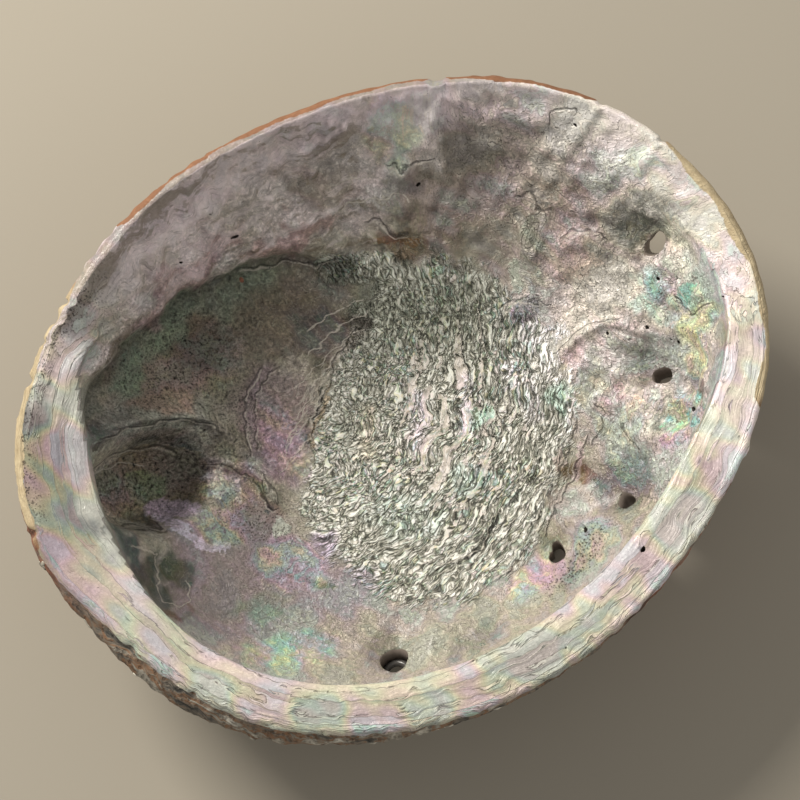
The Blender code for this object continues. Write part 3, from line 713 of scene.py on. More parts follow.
# Colour areas with a crisp border
CRISP_PATCHES = rows(Patch, (
    (-62.5, 9.5, 10.8, 9.8, 25, (46, 41, 34), 0.95),
    (-63.5, 9.2, 4.4, 4.6, 25, (46, 53, 34), 0.9),
    (-61.5, 2.5, 4.6, 2.8, -40, (80, 72, 82), 0.9),
    (-78.8, 12, 3.4, 13, -4, (66, 69, 64), 0.9),
    (-49.4, 6.0, 4.0, 4.6, -20, (84, 83, 84), 0.8),
    (-40.7, -11.4, 2.6, 2.8, 0, (80, 84, 79), 0.8),
    (54.5, 33, 5.6, 3.6, 62, (62, 63, 59), 0.85),
    (47.5, 25.5, 2.6, 5.0, 10, (70, 72, 69), 0.75),
    (42.7, -31.9, 2.6, 3.2, 20, (42, 31, 20), 0.95),
    (38.6, -24.7, 1.8, 2.8, -30, (62, 55, 51), 0.8),
    (45.4, 16.3, 4.2, 3.2, 10, (60, 54, 57), 0.85),
    (75.6, 2.4, 2.0, 4.6, 8, (66, 84, 80), 0.85),
    (81.6, -1.6, 2.2, 3.0, -20, (50, 78, 68), 0.9),
    (79.8, 4.4, 1.6, 4.4, 5, (86, 72, 76), 0.8),
    (76.6, -4.4, 1.8, 2.4, 5, (64, 74, 72), 0.85),
    (66.6, -31.4, 2.0, 2.6, -20, (62, 96, 76), 0.9),
    (64.2, -34.4, 2.0, 2.2, -20, (90, 74, 84), 0.9),
    (68.6, -27.4, 2.2, 1.8, -20, (62, 54, 42), 0.8),
    (74.4, -26.6, 1.3, 3.4, -25, (34, 26, 18), 0.9),
    (71.8, -30.6, 1.2, 4.0, -28, (46, 80, 82), 0.85),
    (60.6, -21.6, 1.8, 3.4, -20, (94, 84, 68), 0.7),
    (57.4, -15.4, 3.2, 2.6, 30, (84, 70, 72), 0.7),
))

# Colour areas of the shelf and the lip
SHELF_PATCHES = rows(Patch, (
    (-93, 6, 10, 26, 6, (46, 43, 41), 0.95),
    (-90, 24, 9, 14, -10, (44, 41, 38), 0.95),
    (-90, -14, 8, 12, 0, (66, 61, 62), 0.7),
    (-78, -32, 10, 12, 30, (66, 70, 66), 0.8),
    (-50, -63, 30, 7, -35, (70, 71, 66), 0.8),
    (0, -77, 30, 7, 0, (68, 66, 62), 0.8),
    (45, -68, 24, 7, 32, (86, 83, 80), 0.8),
    (80, -38, 10, 22, -30, (100, 98, 96), 0.95),
    (92, 2, 8, 26, 4, (97, 94, 92), 0.9),
))

# Where mother-of-pearl colours show strongly, each with the colour of the play that it starts from
PEARLS = rows(Patch, (
    (77, 2, 4, 9, 8, 0.36, 0.75),
    (83, -4, 4, 4, 5, 0.40, 0.75),
    (82, -10, 6, 4, 0, 0.62, 0.8),
    (78, -16, 3, 8, -25, 0.66, 0.9),
    (70, -29, 4, 6, -30, 0.30, 1.0),
    (65, -35, 3, 3, 0, 0.02, 1.0),
    (85, 34, 5, 3, -50, 0.52, 0.5),
    (27, 69, 8, 9, 0, 0.58, 0.5),
    (18, -52, 10, 5, 30, 0.04, 0.8),
    (-50, -45, 13, 7, -15, 0.40, 0.85),
    (-42, -22, 12, 8, -30, 0.95, 0.7),
    (-56, -6, 8, 6, -20, 0.12, 0.7),
    (-48, 3, 8, 7, -40, 0.10, 0.6),
    (52, -6, 8, 10, 10, 0.80, 0.5),
    (58, -22, 8, 10, 60, 0.60, 0.5),
    (36, -50, 9, 5, 35, 0.98, 0.6),
    (-70, 8, 7, 6, 25, 0.50, 0.35),
    (-30, 10, 6, 14, 10, 0.02, 0.5),
    (-44, 36, 16, 8, 20, 0.40, 0.25),
))

HUE_BASE = 0.1

# Colour ramps: the play of mother-of-pearl, the scar's plates with painted shade in their crevices and
# painted glints on their tops, the outside, its worn rim, and the crust
PEARL_STOPS = (
    (0.00, (86, 70, 78)),
    (0.16, (78, 73, 84)),
    (0.32, (62, 81, 84)),
    (0.48, (66, 85, 73)),
    (0.64, (90, 90, 68)),
    (0.80, (92, 80, 70)),
    (1.00, (86, 70, 78)),
)
PLATE_SHADE_AND_GLINT_STOPS = (
    (0.00, (8, 9, 8)),
    (0.10, (27, 28, 25)),
    (0.26, (64, 64, 59)),
    (0.48, (90, 89, 84)),
    (0.80, (100, 100, 97)),
)
OUTSIDE_STOPS = (
    (0.32, (30, 25, 23)),
    (0.43, (48, 31, 24)),
    (0.52, (60, 40, 31)),
    (0.62, (54, 49, 45)),
    (0.74, (74, 71, 66)),
)
LOW_RIM_STOPS = (
    (0.34, (14, 14, 14)),
    (0.42, (36, 35, 33)),
    (0.48, (55, 51, 46)),
    (0.54, (56, 41, 29)),
    (0.58, (58, 55, 50)),
    (0.68, (86, 84, 79)),
)
CRUST_STOPS = ((0.35, (46, 44, 40)), (0.60, (88, 86, 80)))

# Colours of the finer marks
STREAK_COLOUR = (88, 83, 84)
STAIN_COLOUR = (47, 42, 33)
FOOT_COLOUR = (26, 24, 21)
LAYER_HIGHLIGHT_COLOUR = (86, 84, 78)
BARB_COLOUR = (62, 57, 50)
DOT_COLOUR = (15, 12, 10)
SPECK_COLOUR = (16, 12, 10)
STRIPE_COLOUR = (97, 91, 93)
SHADE_COLOUR = (58, 62, 56)
PALE_LINE_COLOUR = (86, 83, 79)
DARK_LINE_COLOUR = (13, 12, 11)
BRICK_COLOURS = ((40, 26, 17), (66, 47, 34))
CREAM_COLOURS = ((62, 53, 40), (90, 84, 70))
BAND_COLOUR = (66, 50, 42)
GRIME_COLOUR = (20, 19, 18)
OUTSIDE_SPECK_COLOUR = (10, 9, 8)

# Strengths with which these and other marks show
STREAKS = 0.45
STAINS = 0.6
LAYER_HIGHLIGHTS = 0.34
BARBS = 0.24
DOTS = 0.8
SPECKS = 0.6
STRIPES = 0.55
SHADES = 0.7
CRACKS = 0.6
VEINS = 0.7
CLEFTS = 0.9
BESIDES = 0.40
PALE_STRENGTH = 0.60
DARK_STRENGTH = 0.72
SCAR_DULL = 0.35

# Noises: scale per millimetre, or per unit of flow for the layers and the rim, detail, roughness and bend
FINE_NOISE = (0.42, 4.0, 0.64)
GRAIN_NOISE = (0.95, 3.0, 0.62)
LAYER_NOISE = (1.0, 4.5, 0.6)
OUTSIDE_NOISE = (0.05, 5.0, 0.62, 1.0)
RIM_NOISE = (1.0, 5.0, 0.68, 0.4)
RIM_SCALE = (6.0, 6.0, 1.6)
GRIME_NOISE = (0.45, 3.0, 0.7)

# Values between which each mark sets in or ends
CRACK_EDGE = (0.006, 0.030)
VEIN_EDGE = (0.002, 0.012)
LAYER_FOOT = (0.86, 1.0)
LAYER_RIM = (0.0, 0.20)
CHIP_EDGE = (0.64, 0.84)
STREAK_EDGE = (0.05, 0.10)
STAIN_EDGE = (0.04, 0.10)
BARB_EDGE = (0.5, 0.62)
DOT_EDGE = (0.35, 0.65)
SPECKS_EDGE = (0.20, 0.26)
SPOT_EDGE = (0.28, 0.42)
FLAKE_EDGE = (0.36, 0.62)
SMOOTH_SIDE = (0.56, 0.66)
BORDER_EDGE = (0.02, 0.09)
STRIPE_FROM = (0.44, 0.56)
FLECK_EDGE = (0.40, 0.80)
SCAR_SHOWN = (0.32, 0.62)
CLEFT_EDGE = (0.025, 0.085)
BESIDE_EDGE = (0.10, 0.26)
CRACKED_GRAIN = (-0.10, 0.07)
DARK_GAPS = (-0.20, -0.02)
PALE_GAPS = (-0.24, -0.08)
LINE_REACH = (0.55, 0.95)
BLISTER_END = (1.1, 1.25)
GRIME_EDGE = (0.50, 0.64)
MARK_EDGE = 0.2
EDGE_CRISP = 0.15
STRIPE_BORDER = 0.42

# Sizes and numbers of the marks, and how rough the surfaces are
BOWL_LAYERS = 16.0
SHELF_LAYERS = 3.4
SHELF_UNEVEN = 5.0
NETWORK_SCALE = 0.24
LINE_CORE = 0.3
LINE_WAVER = 1.1
DARK_LINE_WIDE = 0.32
RIM_HIGHLIGHT_SHIFT = 0.62
PALE_LINE_WIDE = 0.28
RIM_HIGHLIGHT_WIDE = 0.34
BLISTER_RINGS = 3.2
BLISTER_LINE = 0.11
BARB_SCALE = (0.16, 1.5, 0.1)
DOT_SCALE = 1.25
SPECKS_MORE = 0.16
SPOT_LEFT_OUT = 0.34
FLAKES_ACROSS = 2.9
FLAKES_ALONG = 4.4
FLAKE_BEND = 3.0
OUTSIDE_BANDS = 0.22
OUTSIDE_SPOTS = 0.6
COAT_ROUGHNESS = 0.18
OUTSIDE_ROUGHNESS = 0.85
BUMP_HIGH = 0.8

# Relief of the scar's plates, the growth lines and the dome
PLATE_STEEP = 9.0
PLATE_ROUND = 0.7
PLATE_SINK = 0.6
CLUMP_SCALE = 0.4
CLUMP_SWELL = 2.2
SLOW_SCALE = 0.06
LINE_WARP = 6.0
BAND_WARP = 9.0
BAND_PITCH = 1.5
CRUST_SCALE = 0.22
CRUST_ROUGH = 2.6
CRUST_BANDS = 0.22
FOOT_FLAT = (0.0005, 0.003)

# Bits of crust: scale of patches, heights where they set in and end, sizes as shares of a radius, bumps
CRUST_PATCHES = 0.07
CRUST_LOW = (8.0, 20.0)
CRUST_HIGH = (50.0, 54.0)
CRUST_SMALLEST = (0.5, 0.4, 0.15)
CRUST_LARGEST = (1.5, 1.1, 0.45)
CRUST_BUMPS = 1.2
CRUST_BUMP = 0.7
CRUST_SEED = 5

# Middle of the view in plan millimetres, and lamps in metres left, up and above it, with their sizes
VIEW_MIDDLE = (-0.24, -1.44)
KEY_LAMP = Lamp(0.56, 0.52, 0.62, 0.38)
FILL_LAMP = Lamp(-0.60, -0.20, 0.45, 0.60)

# Colours of the light as scene colours, and sizes of the stage in metres
LAMP_COLOUR = (1.0, 0.95, 0.86)
SKY_COLOUR = (1.0, 0.98, 0.94, 1.0)
FLOOR_SIZE = 6
FLOOR_ROUGHNESS = 0.9
NEAREST_SEEN = 0.01


def clear_leftovers():
    """Take out what an empty file may start with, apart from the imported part."""
    for thing in list(bpy.data.objects):
        if thing.type in {"LIGHT", "CAMERA"}:
            bpy.data.objects.remove(thing, do_unlink=True)


def srgb(red, green, blue):
    """Scene colour of a picture's colour, whose parts are given in hundredths."""
    return tuple(((value / 100 + 0.055) / 1.055) ** 2.4 for value in (red, green, blue))


def around(values, angle):
    """Smooth closed curve through values that are given every STEP degrees."""
    values = np.asarray(values, float)
    place = (angle % (2 * pi)) / radians(STEP)
    first = np.floor(place).astype(int)
    share = place - first
    before, start, end, after = (values[(first + shift) % len(values)] for shift in (-1, 0, 1, 2))
    slope = end - before
    bend = 2 * before - 5 * start + 4 * end - after
    twist = 3 * (start - end) + after - before
    return start + 0.5 * share * (slope + share * (bend + share * twist))


def ramp(value, low, high):
    """Smooth step from 0 at low to 1 at high."""
    share = np.clip((value - low) / (high - low), 0, 1)
    return share * share * (3 - 2 * share)


def wobble(x, y, size, seed, z=0.0):
    """Smooth irregular waves between about -1 and 1, size millimetres apart, over the plan or in space."""
    chance = np.random.default_rng(seed)
    total = np.zeros(np.shape(x))
    for _ in range(WAVE_COUNT):
        heading = chance.uniform(0, 2 * pi)
        pitch = 2 * pi / (size * chance.uniform(*WAVE_SPREAD))
        phase = chance.uniform(0, 2 * pi)
        lift = chance.uniform(-WAVE_LIFT, WAVE_LIFT)
        total = total + np.sin(pitch * (x * cos(heading) + y * sin(heading) + z * lift) + phase)
    return total / WAVE_CALM


def waves_at(x, y, waves, z=0.0, side=0):
    """Sum of several sets of waves; side 1 gives sets that are as strong, with other seeds."""
    return sum(wave.reach * wobble(x, y, wave.size, wave.seed + side, z) for wave in waves)


def shifted(x, y, waves, z=0.0):
    """Plan shifted by waves, so that what is laid out on it gets natural borders."""
    return x + waves_at(x, y, waves, z), y + waves_at(x, y, waves, z, 1)


def gather(ring, strength):
    """Rings drawn towards the outermost one."""
    return ring * (1 - strength) + np.sin(ring * pi / 2) * strength


def dish(share, power, wall_power):
    """Depth of a bowl, 1 in the middle and 0 at its rim."""
    return np.clip(1 - np.clip(share, 0, 1) ** power, 0, 1) ** (1 / wall_power)


def wall_depth(radius, angle, edge, drop):
    """Depth of a wall that starts at an edge, as if there were no shelf."""
    deepest = HEIGHT - FLOOR_WALL - drop
    return drop + deepest * dish(radius / edge, around(BOWL_POWER, angle), around(WALL_POWER, angle))


def outwards(radius, angle, edge):
    """Unit direction, as radius and depth, that points out of the wall."""
    near = np.minimum(radius / edge + RING_STEP, 1) * edge
    far = np.maximum(radius / edge - RING_STEP, 0) * edge
    fall = wall_depth(far, angle, edge, 0) - wall_depth(near, angle, edge, 0)
    length = np.hypot(near - far, fall)
    return fall / length, (near - far) / length


def inner_edge(angle):
    """Radius at which the inner side of the wall reaches the lip."""
    lip = around(LIP_RADIUS, angle)
    wall = around(LIP_WALL, angle)
    sideways, _ = outwards(lip - wall, angle, lip - wall)
    return lip - wall * sideways


def bowl_section(ring, angle):
    """Radius and depth of the bowl's inside, with the shelf standing over its steep side."""
    width = around(SHELF_WIDTH, angle)
    strength = ramp(width, SHELF_THIN, SHELF_FULL)
    inner = gather(np.clip(ring / BAND_START, 0, 1), BOWL_GATHER)
    outer = np.clip((1 - ring) / (1 - BAND_START), 0, 1)
    on_wall = ring <= BAND_START
    edge = inner_edge(angle)
    plain_radius = np.where(on_wall, (edge - BAND_WIDTH) * inner, edge - BAND_WIDTH * outer)
    plain_depth = wall_depth(plain_radius, angle, edge, 0)
    drop = around(SHELF_DROP, angle)
    crest = around(LIP_RADIUS, angle) - CREST_WIDTH
    nose = crest - width
    wall = nose + around(UNDERCUT, angle)
    under_depth = wall_depth(wall * inner, angle, wall, drop)
    under_radius = wall * inner - (wall - nose) * np.exp(-((under_depth - drop) / SHELF_THICK) ** 2)
    shelf_radius = np.where(on_wall, under_radius, crest - width * outer)
    shelf_depth = np.where(on_wall, under_depth, drop * outer ** SHELF_CURL)
    radius = plain_radius * (1 - strength) + shelf_radius * strength
    depth = plain_depth * (1 - strength) + shelf_depth * strength
    return radius, depth + around(LIP_DIP, angle) * ring ** 3


def dome_section(ring, angle):
    """Radius and depth of the dome, and for rings over 1 of the lip's rounded top back to the bowl."""
    edge = inner_edge(angle)
    under = np.minimum(ring, 1)
    radius = edge * gather(under, DOME_GATHER)
    sideways, down = outwards(radius, angle, edge)
    depth = wall_depth(radius, angle, edge, 0)
    thickness = (FLOOR_WALL + WORN_BACK) * (1 - under) + around(LIP_WALL, angle) * under
    radius = radius + thickness * sideways
    depth = depth + thickness * down
    low = depth / SWELLING_DEEP
    radius = radius + around(SWELLING, angle) * low * np.exp(1 - low)
    depth = depth + around(LIP_DIP, angle) * under ** 3
    over = np.clip(ring - 1, 0, 1)
    crest_radius, crest_depth = bowl_section(np.ones_like(ring), angle)
    radius = radius + (crest_radius - radius) * over
    depth = depth + (crest_depth - depth) * over - LIP_BULGE * np.sin(pi * over)
    return radius, depth


def even_table(section, rings, weight):
    """Radius, depth and ring of a section in steps of equal length, for every angle of a table."""
    angles = np.arange(ANGLE_STEPS) * 2 * pi / ANGLE_STEPS
    ring, angle = np.meshgrid(rings, angles)
    radius, depth = section(ring, angle)
    lengths = np.hypot(np.diff(radius, axis=1), np.diff(depth, axis=1))
    lengths *= weight(0.5 * (radius[:, 1:] + radius[:, :-1]), 0.5 * (ring[:, 1:] + ring[:, :-1]))
    passed = np.concatenate((np.zeros((ANGLE_STEPS, 1)), np.cumsum(lengths, axis=1)), axis=1)
    passed /= passed[:, -1:]
    even = np.linspace(0, 1, FINE_STEPS)
    return [np.array([np.interp(even, passed[row], values[row]) for row in range(ANGLE_STEPS)])
            for values in (radius, depth, ring)]


def from_table(table, share, angle):
    """Value of a table at a share of its section and an angle."""
    row = (angle % (2 * pi)) / (2 * pi) * ANGLE_STEPS
    column = share * (FINE_STEPS - 1)
    first_row = np.floor(row).astype(int)
    first_column = np.minimum(np.floor(column).astype(int), FINE_STEPS - 2)
    down, along = row - first_row, column - first_column
    total = 0
    for next_row, row_share in ((0, 1 - down), (1, down)):
        for next_column, column_share in ((0, 1 - along), (1, along)):
            found = table[(first_row + next_row) % ANGLE_STEPS, first_column + next_column]
            total = total + found * row_share * column_share
    return total


def bowl_weight(radius, ring):
    """Finer steps on the floor, where the scar lies, and along the lip."""
    return 1.0 + FLOOR_FINER * (1 - ramp(radius, *FLOOR_END)) + LIP_FINER * ramp(ring, *LIP_FINE)


def dome_weight(radius, ring):
    """Finer steps where the dome can be seen from above, and over the lip's top."""
    return 1.0 + SIDE_FINER * ramp(ring, *SIDE_FINE) + TOP_FINER * ramp(ring, *TOP_FINE)


def disc(grid):
    """Ring and angle of the points of a square grid, laid out as a disc."""
    x, y = grid
    ring = np.maximum(np.abs(x), np.abs(y))
    sideways = np.abs(x) >= np.abs(y)
    safe_x = np.where(np.abs(x) > 0, x, 1)
    safe_y = np.where(np.abs(y) > 0, y, 1)
    flat = pi / 4 * y / safe_x + np.where(x < 0, pi, 0)
    steep = pi / 2 - pi / 4 * x / safe_y + np.where(y < 0, pi, 0)
    return ring, np.where(sideways, flat, steep)


def oval_shares(x, y, form):
    """How far each point lies out from the middle of a turned oval, as shares of its two radii."""
    turn = radians(form.turn)
    along = ((x - form.x) * cos(turn) + (y - form.y) * sin(turn)) / form.long
    across = ((y - form.y) * cos(turn) - (x - form.x) * sin(turn)) / form.short
    return along, across


def lump_height(x, y, lump):
    """Height of one rounded lump over the plan."""
    along, across = oval_shares(x, y, lump)
    return lump.height * np.exp(-(along ** 2 + across ** 2))


def lumps_height(x, y, lumps):
    """Height of several rounded lumps together."""
    return sum(lump_height(x, y, lump) for lump in lumps)


def plateau(x, y, lump, sharpness):
    """Height of a flat-topped lump with a definite edge."""
    along, across = oval_shares(x, y, lump)
    return lump.height / (1 + (along ** 2 + across ** 2) ** sharpness)


def from_path(x, y, points):
    """Distance from a path, more than nought on its left, and the share of the path passed."""
    points = np.reshape(points, (-1, 2))
    steps = np.diff(points, axis=0)
    lengths = np.hypot(steps[:, 0], steps[:, 1])
    passed = np.concatenate(([0], np.cumsum(lengths)))
    nearest = np.full(len(x), np.inf)
    signed = np.zeros(len(x))
    share = np.zeros(len(x))
    for start, step, length, before in zip(points, steps, lengths, passed):
        away_x, away_y = x - start[0], y - start[1]
        along = np.clip((away_x * step[0] + away_y * step[1]) / length ** 2, 0, 1)
        gap = np.hypot(away_x - along * step[0], away_y - along * step[1])
        closer = gap < nearest
        side = np.where(step[0] * away_y - step[1] * away_x > 0, 1, -1)
        nearest = np.where(closer, gap, nearest)
        signed = np.where(closer, side * gap, signed)
        share = np.where(closer, (before + along * length) / passed[-1], share)
    return signed, share


def ends_faded(share):
    """1 along a path and 0 at its two ends."""
    return ramp(share, 0.0, START_FADE) * ramp(1 - share, 0.0, END_FADE)


def rib(x, y, path):
    """Height of a rounded rib, or groove, that follows a path."""
    gap, share = from_path(x, y, path.points)
    return path.height * np.exp(-(gap / path.half_width) ** 2) * ends_faded(share)


def ledge(x, y, path, reach):
    """Step across a path that fades out to both sides."""
    gap, share = from_path(x, y, path.points)
    step = 0.5 * np.tanh(gap / path.half_width)
    return path.height * step * np.exp(-(gap / reach) ** 2) * ends_faded(share)


def scar_mask(x, y):
    """1 inside the muscle scar and 0 outside it, with a wide soft edge that is half way at its outline."""
    away_x, away_y = shifted(x, y, SCAR_WAVES)
    away_x, away_y = away_x - SCAR_MIDDLE[0], away_y - SCAR_MIDDLE[1]
    edge = around(SCAR_RADIUS, np.arctan2(away_y, away_x))
    round_part = 0.5 + (edge - np.hypot(away_x, away_y)) / (2 * SCAR_SOFT)
    gap, _ = from_path(x, y, SCAR_TONGUE.points)
    tongue = 0.5 + (SCAR_TONGUE.half_width - np.abs(gap)) / SCAR_SOFT
    return np.clip(np.maximum(round_part, tongue), 0, 1)


def bowl_relief(x, y):
    """Height that the forms inside the bowl add to it."""
    funnels = [Lump(hole.x, hole.y, FUNNEL_WIDE, FUNNEL_WIDE, 0, -FUNNEL_DEEP) for hole in HOLES]
    height = ledge(x, y, LEDGE, LEDGE_REACH) + rib(x, y, GROOVE) + rib(x, y, COIL_RIDGE)
    height += plateau(x, y, COIL_PIT, PIT_EDGE) + plateau(x, y, SCAR, SCAR_EDGE)
    return height + lumps_height(x, y, BOWL_LUMPS) + lumps_height(x, y, funnels)


def bowl_details(x, y, z):
    """Height of the finer forms inside the bowl, which the part leaves out."""
    bent_x, bent_y = shifted(x, y, DETAIL_WAVES)
    height = lumps_height(bent_x, bent_y, FINE_LUMPS)
    for path in FINE_RIBS:
        height += rib(bent_x, bent_y, path)
    for path in FINE_LEDGES:
        height += ledge(bent_x, bent_y, path, FINE_REACH)
    from_blister = np.hypot(*oval_shares(bent_x, bent_y, BLISTER))
    height += BLISTER.height * np.exp(-((from_blister - BLISTER_RIM) / BLISTER_SOFT) ** 2)
    upper = np.clip(ramp(bent_y, *ROUGH_TOP) + ramp(bent_x, *ROUGH_RIGHT), 0, 1)
    height += upper * waves_at(x, y, BROAD_SWELL, z)
    return height + (ROUGH_EVERYWHERE + upper) * waves_at(x, y, FINE_SWELL, z)


def nearest_line(x, y, lines):
    """Signed and plain distance to the nearest of several lines, which fade at their ends."""
    signed = np.full(len(x), FAR_AWAY)
    plain = np.full(len(x), FAR_AWAY)
    for points in lines:
        gap, share = from_path(x, y, points)
        away = np.abs(gap) + 1 - ends_faded(share)
        closer = away < plain
        signed = np.where(closer, gap, signed)
        plain = np.where(closer, away, plain)
    return signed, plain


def from_coil(x, y):
    """Distance from the middle of the coil."""
    return np.hypot(x - COIL_AT[0], y - COIL_AT[1])


def coil(x, y):
    """Height of the low coil on the dome, with the seam between its turns."""
    reach = from_coil(x, y) / COIL_RADIUS
    turned = np.arctan2(y - COIL_AT[1], x - COIL_AT[0]) / (2 * pi)
    phase = COIL_TURNS * np.sqrt(reach) - turned
    seam = np.exp(-((phase - np.round(phase)) / COIL_SEAM_WIDE) ** 2)
    return np.exp(-reach ** 4) * (COIL_HEIGHT * (1 - 0.5 * reach ** 2) - COIL_SEAM * seam)


def dome_relief(x, y):
    """Height that the forms on the dome add to it."""
    raised = [Lump(old_x, old_y, TUBERCLE_WIDE, TUBERCLE_WIDE, 0, OLD_TUBERCLE_HEIGHT)
              for old_x, old_y in OLD_TUBERCLES]
    for hole in HOLES:
        out = 1 + TUBERCLE_SHIFT / np.hypot(hole.x, hole.y)
        raised.append(Lump(hole.x * out, hole.y * out, TUBERCLE_WIDE, TUBERCLE_WIDE, 0, TUBERCLE_HEIGHT))
    growth = GROWTH_HEIGHT * np.sin(2 * pi * from_coil(x, y) / GROWTH_STEP)
    return coil(x, y) + growth + lumps_height(x, y, DOME_LUMPS) + lumps_height(x, y, raised)


def notch_depth(angle):
    """How far bites and wear take the lip's edge in at an angle."""
    degrees = np.degrees(angle)
    depth = sum(wear * np.sin(count * angle + phase) for wear, count, phase in LIP_WEAR)
    for notch in NOTCHES:
        gap = (degrees - notch.angle + 180) % 360 - 180
        depth += notch.depth * (1 - ramp(np.abs(gap), NOTCH_FLAT * notch.half_angle, notch.half_angle))
    return depth


def stretch(angle, spans, soft):
    """1 where an angle lies in one of the spans, given in degrees, and 0 elsewhere."""
    total = np.zeros(np.shape(angle))
    for start, end in spans:
        middle, half = 0.5 * (start + end), 0.5 * (end - start)
        gap = np.abs((np.degrees(angle) - middle + 180) % 360 - 180)
        total += 1 - ramp(gap, half - soft, half + soft)
    return np.clip(total, 0, 1)


def set_points(mesh, points):
    """Give a mesh its points, in millimetres."""
    mesh.vertices.foreach_set("co", (points * MM).ravel())
    mesh.update()


def points_of(mesh):
    """Points of a mesh, in millimetres."""
    found = np.empty(len(mesh.vertices) * 3)
    mesh.vertices.foreach_get("co", found)
    return found.reshape(-1, 3) / MM


def normals_of(mesh):
    """Outward direction at every point of a mesh."""
    found = np.empty(len(mesh.vertices) * 3)
    mesh.vertex_normals.foreach_get("vector", found)
    return found.reshape(-1, 3)


def grid_mesh(cells):
    """A square grid two units wide, as a mesh without an object."""
    bpy.ops.mesh.primitive_grid_add(x_subdivisions=cells, y_subdivisions=cells, size=2)
    made = bpy.context.object
    mesh = made.data.copy()
    bpy.data.objects.remove(made, do_unlink=True)
    return mesh


def two_sided(bowl_cells, dome_cells):
    """Two grids, one facing up and one down, whose borders are bridged into one closed skin."""
    bowl, dome = grid_mesh(bowl_cells), grid_mesh(dome_cells)
    flat = np.concatenate((points_of(bowl), points_of(dome))) * MM
    skin = bmesh.new()
    skin.from_mesh(bowl)
    upper = len(skin.faces)
    skin.from_mesh(dome)
    skin.faces.ensure_lookup_table()
    bmesh.ops.reverse_faces(skin, faces=skin.faces[upper:])
    bmesh.ops.bridge_loops(skin, edges=[edge for edge in skin.edges if edge.is_boundary])
    mesh = bpy.data.meshes.new("abalone_shell_looks")
    skin.to_mesh(mesh)
    skin.free()
    return mesh, flat, len(bowl.vertices)


def shell_skin(bowl_cells, dome_cells):
    """Mesh of the shell with its named forms, and where each point lies in the section and on which side."""
    mesh, flat, bowl_count = two_sided(bowl_cells, dome_cells)
    share, angle = disc(flat[:, :2].T)
    share = np.clip(share, 0, 1)
    inside = np.arange(len(flat)) < bowl_count
    bowl_rings = np.linspace(0, 1, FINE_STEPS)
    dome_rings = np.concatenate((bowl_rings, 1 + np.linspace(0, LIP_SHARE, LIP_STEPS)[1:]))
    sections = ((bowl_section, bowl_rings, bowl_weight), (dome_section, dome_rings, dome_weight))
    sides = [[from_table(table, share, angle) for table in even_table(*section)] for section in sections]
    radius, depth, ring = (np.where(inside, bowl, dome) for bowl, dome in zip(*sides))
    lip = around(LIP_RADIUS, angle)
    near_lip = ramp(radius / lip, *NOTCH_REACH) * (1 - ramp(depth, *NOTCH_DEEP))
    radius = radius - notch_depth(angle) * near_lip
    base = np.column_stack((radius * np.cos(angle), radius * np.sin(angle), HEIGHT - depth))
    set_points(mesh, base)
    x, y, z = base.T
    calm = ramp(np.where(inside, 1 - ring, np.abs(1 - ring)), 0.0, LIP_CALM) * (ring < 1)
    on_shelf = ramp(ring, SHELF_CALM, BAND_START) * ramp(around(SHELF_WIDTH, angle), SHELF_THIN, SHELF_FULL)
    bowl = (bowl_relief(x, y) + bowl_details(x, y, z)) * (1 - on_shelf)
    points = base + normals_of(mesh) * (np.where(inside, bowl, dome_relief(x, y)) * calm)[:, None]
    points[:, 2] = np.maximum(points[:, 2], 0)
    set_points(mesh, points)
    return mesh, SimpleNamespace(
        x=x, y=y, z=z, ring=ring, angle=angle, inside=inside.astype(float), from_lip=lip - radius,
        on_shelf=on_shelf, off_shelf=1 - on_shelf)


def patch_share(x, y, patch):
    """How much of a patch shows at each point."""
    along, across = oval_shares(x, y, patch)
    return patch.strength * (1 - ramp(along ** 2 + across ** 2, *PATCH_SOFT))


def blended(colour, other, share):
    """Colours moved towards another colour, given as a picture's colour, by a share at each point."""
    return colour + (np.array(srgb(*other)) - colour) * share[:, None]


